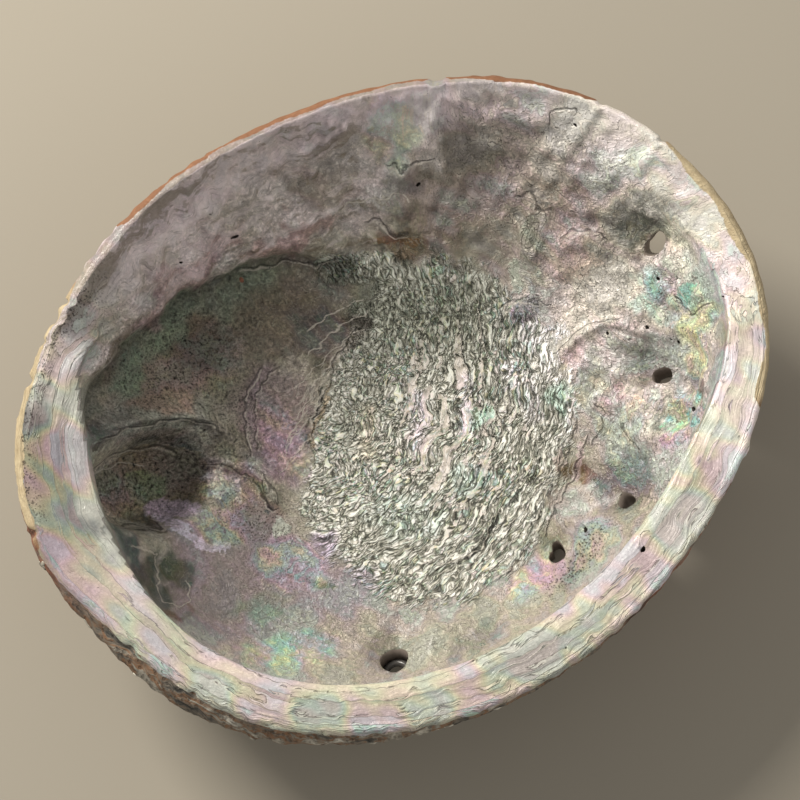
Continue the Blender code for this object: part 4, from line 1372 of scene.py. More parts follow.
def tint_of(spots):
    """Colour of the nacre at every point, from the named areas, with painted light on the right and painted
    shade along the shelf's nose and under the ledge.
    """
    x, y = spots.x, spots.y
    bent_x, bent_y = shifted(x, y, TINT_WAVES, spots.z)
    colour = np.tile(np.array(srgb(*NACRE_COLOUR)), (len(x), 1))
    for patch in PATCHES:
        colour = blended(colour, patch.colour, patch_share(bent_x, bent_y, patch) * spots.off_shelf)
    for stroke in SOFT_STROKES:
        gap, share = from_path(x, y, stroke.points)
        share = stroke.strength * np.exp(-(gap / stroke.half_width) ** 2) * ends_faded(share)
        colour = blended(colour, stroke.colour, share * spots.off_shelf)
    # Lighter towards the top and right, and more on the right as painted light, where the wall faces the lamp
    brighter = 1 + TOP_BRIGHT * spots.off_shelf * ramp(np.maximum(x, y), *BRIGHT_FROM)
    colour *= (brighter + RIGHT_PAINTED_LIGHT * ramp(x, *BRIGHT_FROM))[:, None]
    on_right = ramp(x, *RIGHT_LIP)
    reach = LIP_PALE_START + LIP_PALE_MORE * on_right
    pale = (1 - ramp(spots.from_lip + waves_at(x, y, LIP_WAVES), reach, LIP_PALE_END)) * spots.off_shelf
    pale_colour = blended(np.tile(np.array(srgb(*LIP_COLOUR)), (len(x), 1)), RIGHT_LIP_COLOUR, on_right)
    colour += (pale_colour - colour) * (LIP_PALE * pale)[:, None]
    on_top = (spots.ring > 1) * (1 - ramp(x, *LIP_TOP_END))
    colour = blended(colour, LIP_TOP_COLOUR, LIP_TOP * on_top)
    shelf_colour = np.tile(np.array(srgb(*SHELF_COLOUR)), (len(x), 1))
    for patch in SHELF_PATCHES:
        shelf_colour = blended(shelf_colour, patch.colour, patch_share(bent_x, bent_y, patch))
    colour += (shelf_colour - colour) * spots.on_shelf[:, None]
    # Painted shade along the shelf's nose on the right, to tone down its highlight
    nose = np.exp(-((spots.ring - BAND_START) / NOSE_WIDE) ** 2) * spots.inside * ramp(x, *NOSE_FROM)
    # Painted shadow in a band just below the ledge's overhang
    gap, share = from_path(x, y, LEDGE.points)
    foot = np.exp(-((gap + LEDGE_FOOT) / FOOT_WIDE) ** 2) * ends_faded(share) * spots.off_shelf
    colour *= ((1 - NOSE_SHADE * nose) * (1 - FOOT_SHADE * foot))[:, None]
    return np.column_stack((colour, np.ones(len(x))))


def patch_within(x, y, patch):
    """Millimetres that each point lies inside a patch, less than nought outside it."""
    return (1 - np.hypot(*oval_shares(x, y, patch))) * min(patch.long, patch.short)


def stroke_within(x, y, stroke):
    """Millimetres that each point lies inside a stroke, less than nought outside it."""
    gap, share = from_path(x, y, stroke.points)
    return stroke.half_width - np.abs(gap) - MARK_REACH * (1 - ends_faded(share))


def marks_of(spots):
    """Colour and strength of the crisp mark at every point, and how far inside it the point lies."""
    bent_x, bent_y = shifted(spots.x, spots.y, MARK_WAVES)
    within = np.full(len(bent_x), -MARK_REACH)
    colour = np.zeros((len(bent_x), 4))
    marks = [(patch, patch_within(bent_x, bent_y, patch)) for patch in CRISP_PATCHES]
    marks += [(stroke, stroke_within(bent_x, bent_y, stroke)) for stroke in CRISP_STROKES]
    for mark, depth in marks:
        colour[(depth > within) | (depth > 0)] = (*srgb(*mark.colour), mark.strength)
        within = np.maximum(within, depth)
    return colour, np.clip(within, -MARK_REACH, MARK_REACH) - 2 * MARK_REACH * spots.on_shelf


def scar_traits(spots, bowl):
    """The scar's extent, its shade, its smooth stripes, and the course of its needles."""
    x, y = spots.x, spots.y
    scar = scar_mask(x, y) * bowl
    away_x, away_y = shifted(x, y, NEEDLE_WAVES)
    away_x, away_y = away_x - NEEDLE_CENTRE[0], away_y - NEEDLE_CENTRE[1]
    out, round_it = np.hypot(away_x, away_y), np.arctan2(away_y, away_x) * NEEDLE_REACH
    stripes = wobble(out, round_it * STRIPE_ALONG, *STRIPE_WAVE) + waves_at(x, y, STRIPE_WAVES)
    return {
        "scar": scar,
        "scar_shade": lumps_height(x, y, SCAR_SHADES),
        "calm": ramp(stripes, *STRIPE_EDGE) * lump_height(x, y, STRIPED) * scar,
        "needles": np.column_stack((out, round_it, 0 * x)),
        "feather": lump_height(x, y, FEATHERED) * (1 - scar) * bowl,
    }


def layer_traits(spots, bowl, scar, left_wall, right):
    """Course of the worn layers, and how much of them and of the wall's streaks shows."""
    x, y, z = spots.x, spots.y, spots.z
    bend = waves_at(x, y, SWIRL_WAVES, z)
    swirls = np.column_stack((x + bend, y + waves_at(x, y, SWIRL_SIDE, z), z)) * SWIRL_SCALE
    bands = np.column_stack((LIP_REACH * np.cos(spots.angle) * BAND_ALONG,
                             LIP_REACH * np.sin(spots.angle) * BAND_ALONG,
                             (spots.from_lip + BAND_BEND * bend) * BAND_ACROSS))
    outside = (1 - spots.inside) * (spots.ring < 1.0)
    above_ledge, _ = from_path(x, y, LEDGE.points)
    on_wall = left_wall * (1 - ramp(spots.from_lip, *WALL_END)) * ramp(above_ledge, -LEDGE_EDGE, LEDGE_EDGE)
    banded = np.clip(np.maximum(np.maximum(on_wall, spots.on_shelf), outside), 0, 1)
    settled = np.abs(2 * banded - 1)
    contour = np.clip(CONTOUR_BASE + ramp(y, *CONTOUR_TOP) + right, 0, 1)
    contour *= 1 - CONTOUR_LIP * (1 - ramp(spots.from_lip, *CONTOUR_LIP_END))
    contour *= 1 - CONTOUR_WALL * left_wall * (1 - ramp(spots.from_lip, *CONTOUR_WALL_END))
    return {
        "flow": swirls * (1 - banded[:, None]) + bands * banded[:, None],
        "outside": outside,
        "wall": on_wall * bowl * (1 - scar) * settled,
        "contour": contour * bowl * settled + spots.on_shelf * (1 - lump_height(x, y, PLAIN_SHELF)),
    }


def wear_traits(spots, bowl, left_wall, right):
    """How cracked, grainy, uneven and glossy the nacre is."""
    x, y, from_lip = spots.x, spots.y, spots.from_lip
    cracked = CRACKED_RIGHT * right + CRACKED_TOP * ramp(y, *CRACKED_FROM) + lumps_height(x, y, CRACKED)
    left_floor = (1 - right) * (1 - left_wall * (1 - ramp(from_lip, *FLOOR_FROM)))
    grainy = GRAINY_BASE + right + GRAINY_FLOOR * left_floor + GRAINY_WALL * left_wall
    grainy += lumps_height(x, y, GRAINY)
    grainy *= (GRAINY_LIP + (1 - GRAINY_LIP) * ramp(from_lip, *GRAINY_LIP_END)) * spots.off_shelf
    gloss = GLOSS_BASE * (1 + right) + GLOSS_SHELF * spots.on_shelf + GLOSS_LOW * ramp(-y, *GLOSS_LOW_FROM)
    lip_wear = CRACKED_LIP + (1 - CRACKED_LIP) * ramp(from_lip, *CRACKED_LIP_END)
    return {
        "cracked": np.clip(cracked, 0, 1) * bowl * lip_wear,
        "grainy": grainy + GRAINY_SHELF * spots.on_shelf,
        "muddle": (MUDDLE_BASE - MUDDLE_RIGHT * right - MUDDLE_SHELF * spots.on_shelf
                   - MUDDLE_FLOOR * left_floor),
        "gloss": np.clip(gloss - lump_height(x, y, DULL_PAD), GLOSS_LEAST, 1),
    }


def edge_traits(spots, bowl, outside):
    """The band of the outer layer that shows at the lip, the grime under it, and the specks."""
    x, y, angle = spots.x, spots.y, spots.angle
    brick = stretch(angle, BRICK_STRETCHES, BRICK_SOFT)
    cream = stretch(angle, CREAM_STRETCHES, CREAM_SOFT)
    worn = stretch(angle, WORN_STRETCHES, WORN_SOFT)
    uneven = 1 + sum(reach * np.sin(count * angle + phase) for reach, count, phase in EDGE_UNEVEN)
    edge_width = (BRICK_WIDE * brick + CREAM_WIDE * cream + WORN_WIDE * worn) * uneven
    low_rim = stretch(angle, LOW_RIM_STRETCHES, LOW_RIM_SOFT)
    speck = lumps_height(x, y, SPECKLED) + SPECK_CORNER * ramp(-x, *SPECK_LEFT) * ramp(y, *SPECK_ABOVE)
    at_lip = worn * (1 - ramp(spots.from_lip, *SPECK_LIP_END)) * spots.inside
    speck = np.clip(speck, 0, 1) * bowl + SPECK_LIP * at_lip
    return {
        "low_rim": low_rim * ramp(spots.ring, *LOW_RIM_FROM),
        "edge_width": np.where(brick + cream + worn > EDGE_LEAST, edge_width, -EDGE_NONE),
        "edge_place": np.where((spots.inside > 0) | (spots.ring > 1), spots.from_lip, spots.ring - 1),
        "cream": np.clip(cream + worn, 0, 1),
        "speck": speck + SPECK_OUTSIDE * outside * low_rim,
    }


def traits_of(spots):
    """Named values that the relief and the materials read at every point."""
    x, y, z = spots.x, spots.y, spots.z
    bowl = spots.off_shelf * spots.inside
    off_bowl = FAR_AWAY * (1 - bowl)
    left_wall = stretch(spots.angle, LEFT_WALL_STRETCHES, LEFT_WALL_SOFT)
    right = ramp(x, *RIGHT_FROM)
    bent_x, bent_y = shifted(x, y, PLAY_WAVES, z)
    play = np.zeros(len(x))
    hue = np.full(len(x), HUE_BASE)
    for patch in PEARLS:
        share = patch_share(bent_x, bent_y, patch) * bowl
        hue = hue * (1 - share) + patch.colour * share
        play = np.maximum(play, share)
    line_x, line_y = shifted(x, y, LINE_WAVES)
    dark_gap, dark_near = nearest_line(line_x, line_y, DARK_LINES)
    pale_gap, pale_near = nearest_line(line_x, line_y, PALE_LINES)
    scar = scar_traits(spots, bowl)
    layers = layer_traits(spots, bowl, scar["scar"], left_wall, right)
    return {
        **scar,
        **layers,
        **wear_traits(spots, bowl, left_wall, right),
        **edge_traits(spots, bowl, layers["outside"]),
        "cloud": np.clip(CLOUD_BASE + waves_at(x, y, CLOUD_WAVES, z), 0, 1),
        "shelf": spots.on_shelf * spots.inside * (spots.ring >= BAND_START),
        "shelf_share": np.clip((spots.ring - BAND_START) / (1 - BAND_START), 0, 1) * spots.inside,
        "from_lip": spots.from_lip,
        "play": play,
        "hue": hue,
        "dark_gap": dark_gap,
        "dark_near": dark_near + off_bowl,
        "pale_gap": pale_gap,
        "pale_near": pale_near + off_bowl,
        "blister": np.hypot(*oval_shares(bent_x, bent_y, BLISTER)) + off_bowl,
        "from_coil": from_coil(x, y),
    }


def hole_ring(long, short, sides, waver, seed):
    """Outline of an oval hole with an uneven edge, in millimetres."""
    chance = np.random.default_rng(seed)
    phase, second = chance.uniform(0, 2 * pi, 2)
    turns = np.arange(sides) * 2 * pi / sides
    uneven = 1 + waver * (np.sin(2 * turns + phase) + HOLE_CORNERS * np.sin(3 * turns + second))
    return np.column_stack((long / 2 * uneven * np.cos(turns), short / 2 * uneven * np.sin(turns)))


def rod(name, outline, low, high, low_scale, material):
    """A closed rod, or plug that narrows downwards, with an outline for its section."""
    made = bmesh.new()
    rings = []
    for height, scale in ((low, low_scale), (high, 1.0)):
        rings.append([made.verts.new((x * scale * MM, y * scale * MM, height * MM)) for x, y in outline])
    count = len(outline)
    for index in range(count):
        after = (index + 1) % count
        made.faces.new((rings[0][index], rings[0][after], rings[1][after], rings[1][index]))
    made.faces.new(list(reversed(rings[0])))
    made.faces.new(rings[1])
    mesh = bpy.data.meshes.new(name)
    made.to_mesh(mesh)
    made.free()
    mesh.materials.append(material)
    return mesh


def joined(name, objects):
    """One object out of several."""
    with bpy.context.temp_override(active_object=objects[0], object=objects[0],
                                   selected_objects=objects, selected_editable_objects=objects):
        bpy.ops.object.join()
    objects[0].name = name
    return objects[0]


def put_on_surface(shell, mesh, x, y):
    """An object that stands square on the bowl's surface under a place of the plan."""
    above = Vector((x * MM, y * MM, 2 * HEIGHT * MM))
    hit, place, normal, _ = shell.ray_cast(above, Vector((0, 0, -1)))
    if not hit:
        raise RuntimeError("nothing under the place " + str((x, y)))
    made = bpy.data.objects.new(mesh.name, mesh)
    bpy.context.scene.collection.objects.link(made)
    made.rotation_mode = "QUATERNION"
    made.rotation_quaternion = normal.to_track_quat("Z", "Y")
    made.location = place
    return made


def cut_holes(shell, wall_material, pit_material):
    """Cut the breathing holes and small pits out of the shell, and return the ring inside the old hole."""
    cutters = []
    for number, hole in enumerate(HOLES):
        outline = hole_ring(hole.long, hole.short, HOLE_SIDES, hole.waver, number)
        mesh = rod("hole", outline, -CUTTER_LENGTH / 2, CUTTER_LENGTH / 2, 1.0, wall_material)
        cutters.append(put_on_surface(shell, mesh, hole.x, hole.y))
    old = cutters[HOLES.index(OLD_HOLE)]
    bpy.ops.mesh.primitive_torus_add(major_radius=COLLAR_RADIUS * MM, minor_radius=COLLAR_WIRE * MM,
                                     major_segments=32, minor_segments=12)
    collar = bpy.context.object
    collar.rotation_mode = "QUATERNION"
    collar.rotation_quaternion = old.rotation_quaternion
    collar.location = old.location - old.rotation_quaternion @ Vector((0, 0, COLLAR_DEEP * MM))
    for number, pit in enumerate(PITS):
        outline = hole_ring(pit.long, pit.short, PIT_SIDES, PIT_WAVER, PIT_SEED + number)
        turn = radians(pit.turn)
        turned = outline @ np.array(((cos(turn), sin(turn)), (-sin(turn), cos(turn))))
        mesh = rod("pit", turned, -pit.deep, PIT_HIGH, PIT_NARROW, pit_material)
        cutters.append(put_on_surface(shell, mesh, pit.x, pit.y))
    bpy.context.view_layer.update()
    cutter = joined("hole_cutters", cutters)
    cut = shell.modifiers.new("holes", "BOOLEAN")
    cut.operation = "DIFFERENCE"
    cut.solver = "EXACT"
    cut.material_mode = "TRANSFER"
    cut.object = cutter
    whole = bpy.data.meshes.new_from_object(shell.evaluated_get(bpy.context.evaluated_depsgraph_get()))
    shell.modifiers.clear()
    shell.data = whole
    bpy.data.objects.remove(cutter, do_unlink=True)
    return collar


def spread_traits(mesh, old_points, traits, colours):
    """Store the named values on a cut mesh, each point taking those of the nearest point before the cut."""
    tree = KDTree(len(old_points))
    for index, point in enumerate(old_points):
        tree.insert(point, index)
    tree.balance()
    nearest = np.array([tree.find(point)[1] for point in points_of(mesh)])
    kinds = {1: ("FLOAT", "value"), 3: ("FLOAT_VECTOR", "vector"), 4: ("FLOAT_COLOR", "color")}
    for name, values in {**traits, **colours}.items():
        kind, field = kinds[1 if values.ndim == 1 else values.shape[1]]
        mesh.attributes.new(name, kind, "POINT").data.foreach_set(field, values[nearest].ravel())


class Wire:
    """Output of a node, which can be added, multiplied and so on like a number."""

    def __init__(self, tree, socket):
        """Keep the tree, because the nodes of a sum go into it."""
        self.tree, self.socket = tree, socket

    def __add__(self, other):
        return maths("ADD", self, other)

    def __sub__(self, other):
        return maths("SUBTRACT", self, other)

    def __rsub__(self, other):
        return maths("SUBTRACT", other, self)

    def __mul__(self, other):
        return maths("MULTIPLY", self, other)

    def __truediv__(self, other):
        return maths("DIVIDE", self, other)

    def __abs__(self):
        return maths("ABSOLUTE", self)


def put_in(made, inputs):
    """Set a node's inputs, each to a value or a wire."""
    for name, value in inputs.items():
        if isinstance(value, Wire):
            value.tree.links.new(value.socket, made.inputs[name])
        else:
            made.inputs[name].default_value = value


def node(tree, kind, inputs=None, **settings):
    """A new node with its settings, and its inputs as values or wires."""
    made = tree.nodes.new(kind)
    for name, value in settings.items():
        setattr(made, name, value)
    put_in(made, inputs or {})
    return made


def wire(tree, kind, inputs=None, output=0, **settings):
    """Wire from an output of a new node."""
    return Wire(tree, node(tree, kind, inputs, **settings).outputs[output])


def tree_of(values):
    """Node tree that the wires among some values belong to."""
    return next(value.tree for value in values if isinstance(value, Wire))


def maths(operation, *values):
    """Wire from a maths node, whose values are wires or numbers."""
    return wire(tree_of(values), "ShaderNodeMath", dict(enumerate(values)), operation=operation)


def vectors(operation, first, second):
    """Wire from a vector maths node."""
    place = "Scale" if operation == "SCALE" else 1
    return wire(first.tree, "ShaderNodeVectorMath", {0: first, place: second}, operation=operation)


def vector_of(*parts):
    """Vector wire from three numbers or wires."""
    return wire(tree_of(parts), "ShaderNodeCombineXYZ", dict(enumerate(parts)))


def scaled(value, times, plus):
    """A number scaled and shifted."""
    return maths("MULTIPLY_ADD", value, times, plus)


def between(value, low, high, start=0.0, end=1.0):
    """Smooth step from start at low to end at high."""
    return wire(value.tree, "ShaderNodeMapRange", {"Value": value, "From Min": low, "From Max": high,
                                                   "To Min": start, "To Max": end},
                interpolation_type="SMOOTHSTEP")


def below(value, low, high):
    """1 up to low and 0 from high, with a smooth step between."""
    return between(value, low, high, 1.0, 0.0)


def line_at(phase, half_width):
    """1 on thin lines where a phase passes a whole number, and 0 between them."""
    return between(abs(maths("FRACT", phase) - 0.5), 0.5 - half_width, 0.5)


def mixed(factor, first, second, blend="MIX"):
    """Colour mixed from two, each a wire or a picture's colour."""
    tree = tree_of((factor, first, second))
    first, second = (each if isinstance(each, Wire) else (*srgb(*each), 1.0) for each in (first, second))
    return wire(tree, "ShaderNodeMixRGB", {"Fac": factor, "Color1": first, "Color2": second},
                blend_type=blend)


def noise(vector, scale, detail, roughness=0.55, distortion=0.0, dimensions="3D"):
    """Wire from a noise texture."""
    return wire(vector.tree, "ShaderNodeTexNoise", {"Vector": vector, "Scale": scale, "Detail": detail,
                                                    "Roughness": roughness, "Distortion": distortion},
                noise_dimensions=dimensions)


def ramp_of(factor, stops):
    """Wire from a colour ramp, made of places and picture colours."""
    made = node(factor.tree, "ShaderNodeValToRGB", {"Fac": factor})
    elements = made.color_ramp.elements
    while len(elements) < len(stops):
        elements.new(0.5)
    for element, (place, colour) in zip(elements, stops):
        element.position = place
        element.color = (*srgb(*colour), 1.0)
    return Wire(factor.tree, made.outputs[0])


def crinkles(place):
    """Height, 0 in the crevices and 1 on top, of plates that are a unit of place wide, and their side."""
    field = noise(place, 1.0, 2.6, 0.62, 0.0, "2D")
    steep = maths("MINIMUM", abs(field - 0.5) * PLATE_STEEP, 1.0)
    return maths("POWER", steep, PLATE_ROUND), field


def group_inputs(tree, sockets):
    """Declare a geometry tree's inputs and return them as wires."""
    tree.interface.new_socket("Geometry", in_out="INPUT", socket_type="NodeSocketGeometry")
    tree.interface.new_socket("Geometry", in_out="OUTPUT", socket_type="NodeSocketGeometry")
    for name, kind in sockets:
        tree.interface.new_socket(name, in_out="INPUT", socket_type="NodeSocket" + kind)
    return {socket.name: Wire(tree, socket) for socket in tree.nodes.new("NodeGroupInput").outputs}


def named(tree, name, kind="FLOAT"):
    """Wire from a named value of the mesh, in a geometry tree."""
    return wire(tree, "GeometryNodeInputNamedAttribute", {"Name": name}, data_type=kind)


def pushed(geometry, height):
    """Geometry whose points are moved along their normals."""
    normal = wire(geometry.tree, "GeometryNodeInputNormal")
    return wire(geometry.tree, "GeometryNodeSetPosition",
                {"Geometry": geometry, "Offset": vectors("SCALE", normal, height)})


def relief_tree():
    """Geometry tree that raises the scar's plates, the growth lines and the crust's roughness."""
    tree = bpy.data.node_groups.new("Shell Relief", "GeometryNodeTree")
    start = group_inputs(tree, (
        ("Plate Height", "Float"), ("Plate Width", "Float"), ("Plate Length", "Float"),
        ("Line Height", "Float"), ("Line Spacing", "Float"), ("Crust Height", "Float"),
        ("Material", "Material")))
    position = wire(tree, "GeometryNodeInputPosition")
    place = vectors("SCALE", position, 1 / MM)

    size = vector_of(start["Plate Width"], start["Plate Length"], 1.0)
    needles = vectors("DIVIDE", named(tree, "needles", "FLOAT_VECTOR"), size)
    plates, _ = crinkles(needles)
    clumps = noise(needles, CLUMP_SCALE, 2.0, 0.5, 0.0, "2D") - 0.5
    plates = (plates - PLATE_SINK + clumps * CLUMP_SWELL) * start["Plate Height"]
    plates = plates * between(named(tree, "scar"), 0.3, 0.8)

    slow = noise(place, SLOW_SCALE, 2.0)
    lines = maths("SINE", (named(tree, "from_lip") + slow * LINE_WARP) / start["Line Spacing"])
    lines = lines * start["Line Height"] * maths("MAXIMUM", named(tree, "wall"), named(tree, "shelf"))

    bands = maths("SINE", (named(tree, "from_coil") + slow * BAND_WARP) * BAND_PITCH)
    rough = noise(place, CRUST_SCALE, 4.0, 0.6) - 0.5
    crust = (rough * CRUST_ROUGH + bands * CRUST_BANDS) * start["Crust Height"] * named(tree, "outside")

    level = wire(tree, "ShaderNodeSeparateXYZ", {0: position}, "Z")
    height = (plates + lines + crust) * MM * between(level, *FOOT_FLAT)
    real = wire(tree, "GeometryNodeRealizeInstances", {"Geometry": pushed(start["Geometry"], height)})
    skin = wire(tree, "FunctionNodeCompare", {2: wire(tree, "GeometryNodeInputMaterialIndex"), 3: 0},
                data_type="INT", operation="EQUAL")
    painted = wire(tree, "GeometryNodeSetMaterial", {"Geometry": real, "Selection": skin,
                                                     "Material": start["Material"]})
    node(tree, "NodeGroupOutput", {"Geometry": painted})
    return tree


def crust_tree():
    """Geometry tree that scatters small crusts over the side of the dome."""
    tree = bpy.data.node_groups.new("Shell Crust", "GeometryNodeTree")
    start = group_inputs(tree, (
        ("Density", "Float"), ("Size", "Float"), ("Seed", "Int"), ("Material", "Material")))
    place = vectors("SCALE", wire(tree, "GeometryNodeInputPosition"), 1 / MM)
    patches = between(noise(place, CRUST_PATCHES, 2.0), 0.50, 0.62)
    level = wire(tree, "ShaderNodeSeparateXYZ", {0: place}, "Z")
    where = named(tree, "outside") * patches * (between(level, *CRUST_LOW) * below(level, *CRUST_HIGH))
    points = node(tree, "GeometryNodeDistributePointsOnFaces",
                  {"Mesh": start["Geometry"], "Density": where * start["Density"], "Seed": start["Seed"]})
    bit = wire(tree, "GeometryNodeMeshIcoSphere", {"Radius": start["Size"], "Subdivisions": 2})
    size = wire(tree, "FunctionNodeRandomValue", {0: CRUST_SMALLEST, 1: CRUST_LARGEST, "Seed": start["Seed"]},
                data_type="FLOAT_VECTOR")
    spread = wire(tree, "GeometryNodeInstanceOnPoints",
                  {"Points": Wire(tree, points.outputs["Points"]), "Instance": bit,
                   "Rotation": Wire(tree, points.outputs["Rotation"]), "Scale": size})
    real = wire(tree, "GeometryNodeRealizeInstances", {"Geometry": spread})
    rough = (noise(place, CRUST_BUMPS, 2.0) - 0.5) * (CRUST_BUMP * MM)
    painted = wire(tree, "GeometryNodeSetMaterial", {"Geometry": pushed(real, rough),
                                                     "Material": start["Material"]})
    node(tree, "NodeGroupOutput", {"Geometry": painted})
    return tree


def run_tree(source, tree, values, name):
    """Mesh that a geometry tree makes of an object, with its inputs set by name."""
    modifier = source.modifiers.new(tree.name, "NODES")
    modifier.node_group = tree
    for item in tree.interface.items_tree:
        if item.in_out == "INPUT" and item.name in values:
            modifier[item.identifier] = values[item.name]
    source.update_tag()
    bpy.context.view_layer.update()
    made = bpy.data.meshes.new_from_object(source.evaluated_get(bpy.context.evaluated_depsgraph_get()))
    source.modifiers.remove(modifier)
    made.name = name
    return made


def value_of(tree, name, output="Fac"):
    """Wire from a named value of the mesh, in a material."""
    return wire(tree, "ShaderNodeAttribute", None, output, attribute_type="GEOMETRY", attribute_name=name)


def place_of(tree):
    """Place on the object in millimetres, in a material."""
    return vectors("SCALE", wire(tree, "ShaderNodeTexCoord", None, "Object"), 1 / MM)


def mixed_number(factor, first, second):
    """Number mixed from two."""
    return wire(factor.tree, "ShaderNodeMix", {"Factor": factor, "A": first, "B": second}, data_type="FLOAT")


def near_line(tree, name, waver, half_width):
    """1 on a thin line, where a signed distance passes nought near enough to the line."""
    on_line = below(abs(value_of(tree, name + "_gap") + waver), LINE_CORE * half_width, half_width)
    return on_line * below(value_of(tree, name + "_near"), *LINE_REACH)


def cells_of(place, scale):
    """Distance to the nearest of scattered points of a plane, and two chance numbers of that point."""
    cells = node(place.tree, "ShaderNodeTexVoronoi", {"Vector": place, "Scale": scale, "Randomness": 1.0},
                 voronoi_dimensions="2D")
    parts = node(place.tree, "ShaderNodeSeparateXYZ", {0: Wire(place.tree, cells.outputs["Color"])})
    sockets = (cells.outputs["Distance"], parts.outputs[0], parts.outputs[1])
    return [Wire(place.tree, socket) for socket in sockets]


def spots_of(place, scale):
    """Small round specks, of which a part is left out at random."""
    distance, chance, _ = cells_of(place, scale)
    return below(distance + chance * SPOT_LEFT_OUT, *SPOT_EDGE)


def fields_of(tree):
    """Wires that several parts of the mother-of-pearl read, the worn layers among them."""
    place = place_of(tree)
    shelf = value_of(tree, "shelf")
    fine = noise(place, *FINE_NOISE)
    uneven, grain = fine - 0.5, noise(place, *GRAIN_NOISE) - 0.5
    field = noise(value_of(tree, "flow", "Vector"), *LAYER_NOISE)
    on_shelf = value_of(tree, "shelf_share") * SHELF_LAYERS + field * SHELF_UNEVEN
    phase = mixed_number(shelf, field * BOWL_LAYERS, on_shelf)
    part = maths("FRACT", phase)
    foot = between(part, *LAYER_FOOT)
    grainy, speck = value_of(tree, "grainy"), value_of(tree, "speck")
    cracks = maths("MAXIMUM", below(abs(grain), *CRACK_EDGE) * CRACKS, below(abs(uneven), *VEIN_EDGE) * VEINS)
    return SimpleNamespace(
        tree=tree, place=place, fine=fine, uneven=uneven, grain=grain, grainy=grainy, shelf=shelf,
        foot=foot, rim=below(part, *LAYER_RIM), steps=foot - part, field=field - 0.5,
        chance=wire(tree, "ShaderNodeTexWhiteNoise", {"W": maths("FLOOR", phase)}, "Value",
                    noise_dimensions="1D"),
        cracks=cracks * maths("MINIMUM", grainy, 1.0),
        cloud=value_of(tree, "cloud"), contour=value_of(tree, "contour"), gloss=value_of(tree, "gloss"),
        muddle=value_of(tree, "muddle"), wall=value_of(tree, "wall"),
        speck=speck, specks=between(grain + speck * SPECKS_MORE, *SPECKS_EDGE))


def marked_tint(at):
    """Colour of the named areas, with the crisp marks and their ragged borders."""
    within = value_of(at.tree, "mark_within") + (at.uneven * 3.0 + at.grain * 2.0)
    marked = between(within, -MARK_EDGE, MARK_EDGE) * value_of(at.tree, "mark", "Alpha")
    return mixed(marked, value_of(at.tree, "tint", "Color"), value_of(at.tree, "mark", "Color"))


def pearled(at, colour, strength):
    """A colour with the play of mother-of-pearl over it, which changes from layer to layer."""
    hue = value_of(at.tree, "hue") + at.chance * scaled(at.shelf, -0.25, 0.5)
    hue = hue + (at.uneven * scaled(at.shelf, -0.7, 0.8) + at.cloud * 0.9)
    chips = between(at.chance * 0.6 + (at.fine + at.grain * 0.5), *CHIP_EDGE)
    shown = maths("MAXIMUM", at.gloss * scaled(at.cloud, 0.45, 0.25),
                  value_of(at.tree, "play") * scaled(chips, 0.85, 0.1))
    return mixed(shown * strength, colour, ramp_of(maths("FRACT", hue), PEARL_STOPS))


def layered(at, colour):
    """A colour with uneven brightness, streaks and stains on the wall, and the edges of worn layers, each
    with a painted highlight along its raised edge.
    """
    mottle = scaled(at.uneven, at.muddle, 1.04)
    mottle = mottle + at.contour * scaled(at.shelf, 0.15, 0.20) * (at.chance - 0.5)
    mottle = mottle + at.grain * (at.grainy * 1.3) - at.cracks * 0.40 + at.field * (at.wall * 2.2)
    colour = mixed(1.0, colour, mottle, "MULTIPLY")
    streak = between(at.field + at.uneven * 0.3, *STREAK_EDGE) * at.wall
    colour = mixed(streak * STREAKS, colour, STREAK_COLOUR)
    stained = between(at.uneven * 0.4 - at.field, *STAIN_EDGE) * at.wall
    colour = mixed(stained * STAINS, colour, STAIN_COLOUR)
    colour = mixed(at.foot * (at.contour * scaled(at.shelf, -0.22, 0.94)), colour, FOOT_COLOUR)
    # Painted highlight along the raised edge of each layer
    return mixed(at.rim * (at.contour * LAYER_HIGHLIGHTS), colour, LAYER_HIGHLIGHT_COLOUR)


def specked(at, colour):
    """A colour with the fine barbs beside the scar, and dark dots and specks."""
    turned = wire(at.tree, "ShaderNodeVectorRotate", {"Vector": at.place, "Angle": radians(-FEATHER_TURN)},
                  rotation_type="Z_AXIS")
    barbs = between(noise(vectors("MULTIPLY", turned, BARB_SCALE), 1.0, 1.0, 0.5, 0.0, "2D"), *BARB_EDGE)
    colour = mixed(barbs * value_of(at.tree, "feather") * BARBS, colour, BARB_COLOUR)
    dots = between(spots_of(at.place, DOT_SCALE), *DOT_EDGE) * at.speck
    colour = mixed(dots * DOTS, colour, DOT_COLOUR)
    return mixed(at.specks * SPECKS, colour, SPECK_COLOUR)


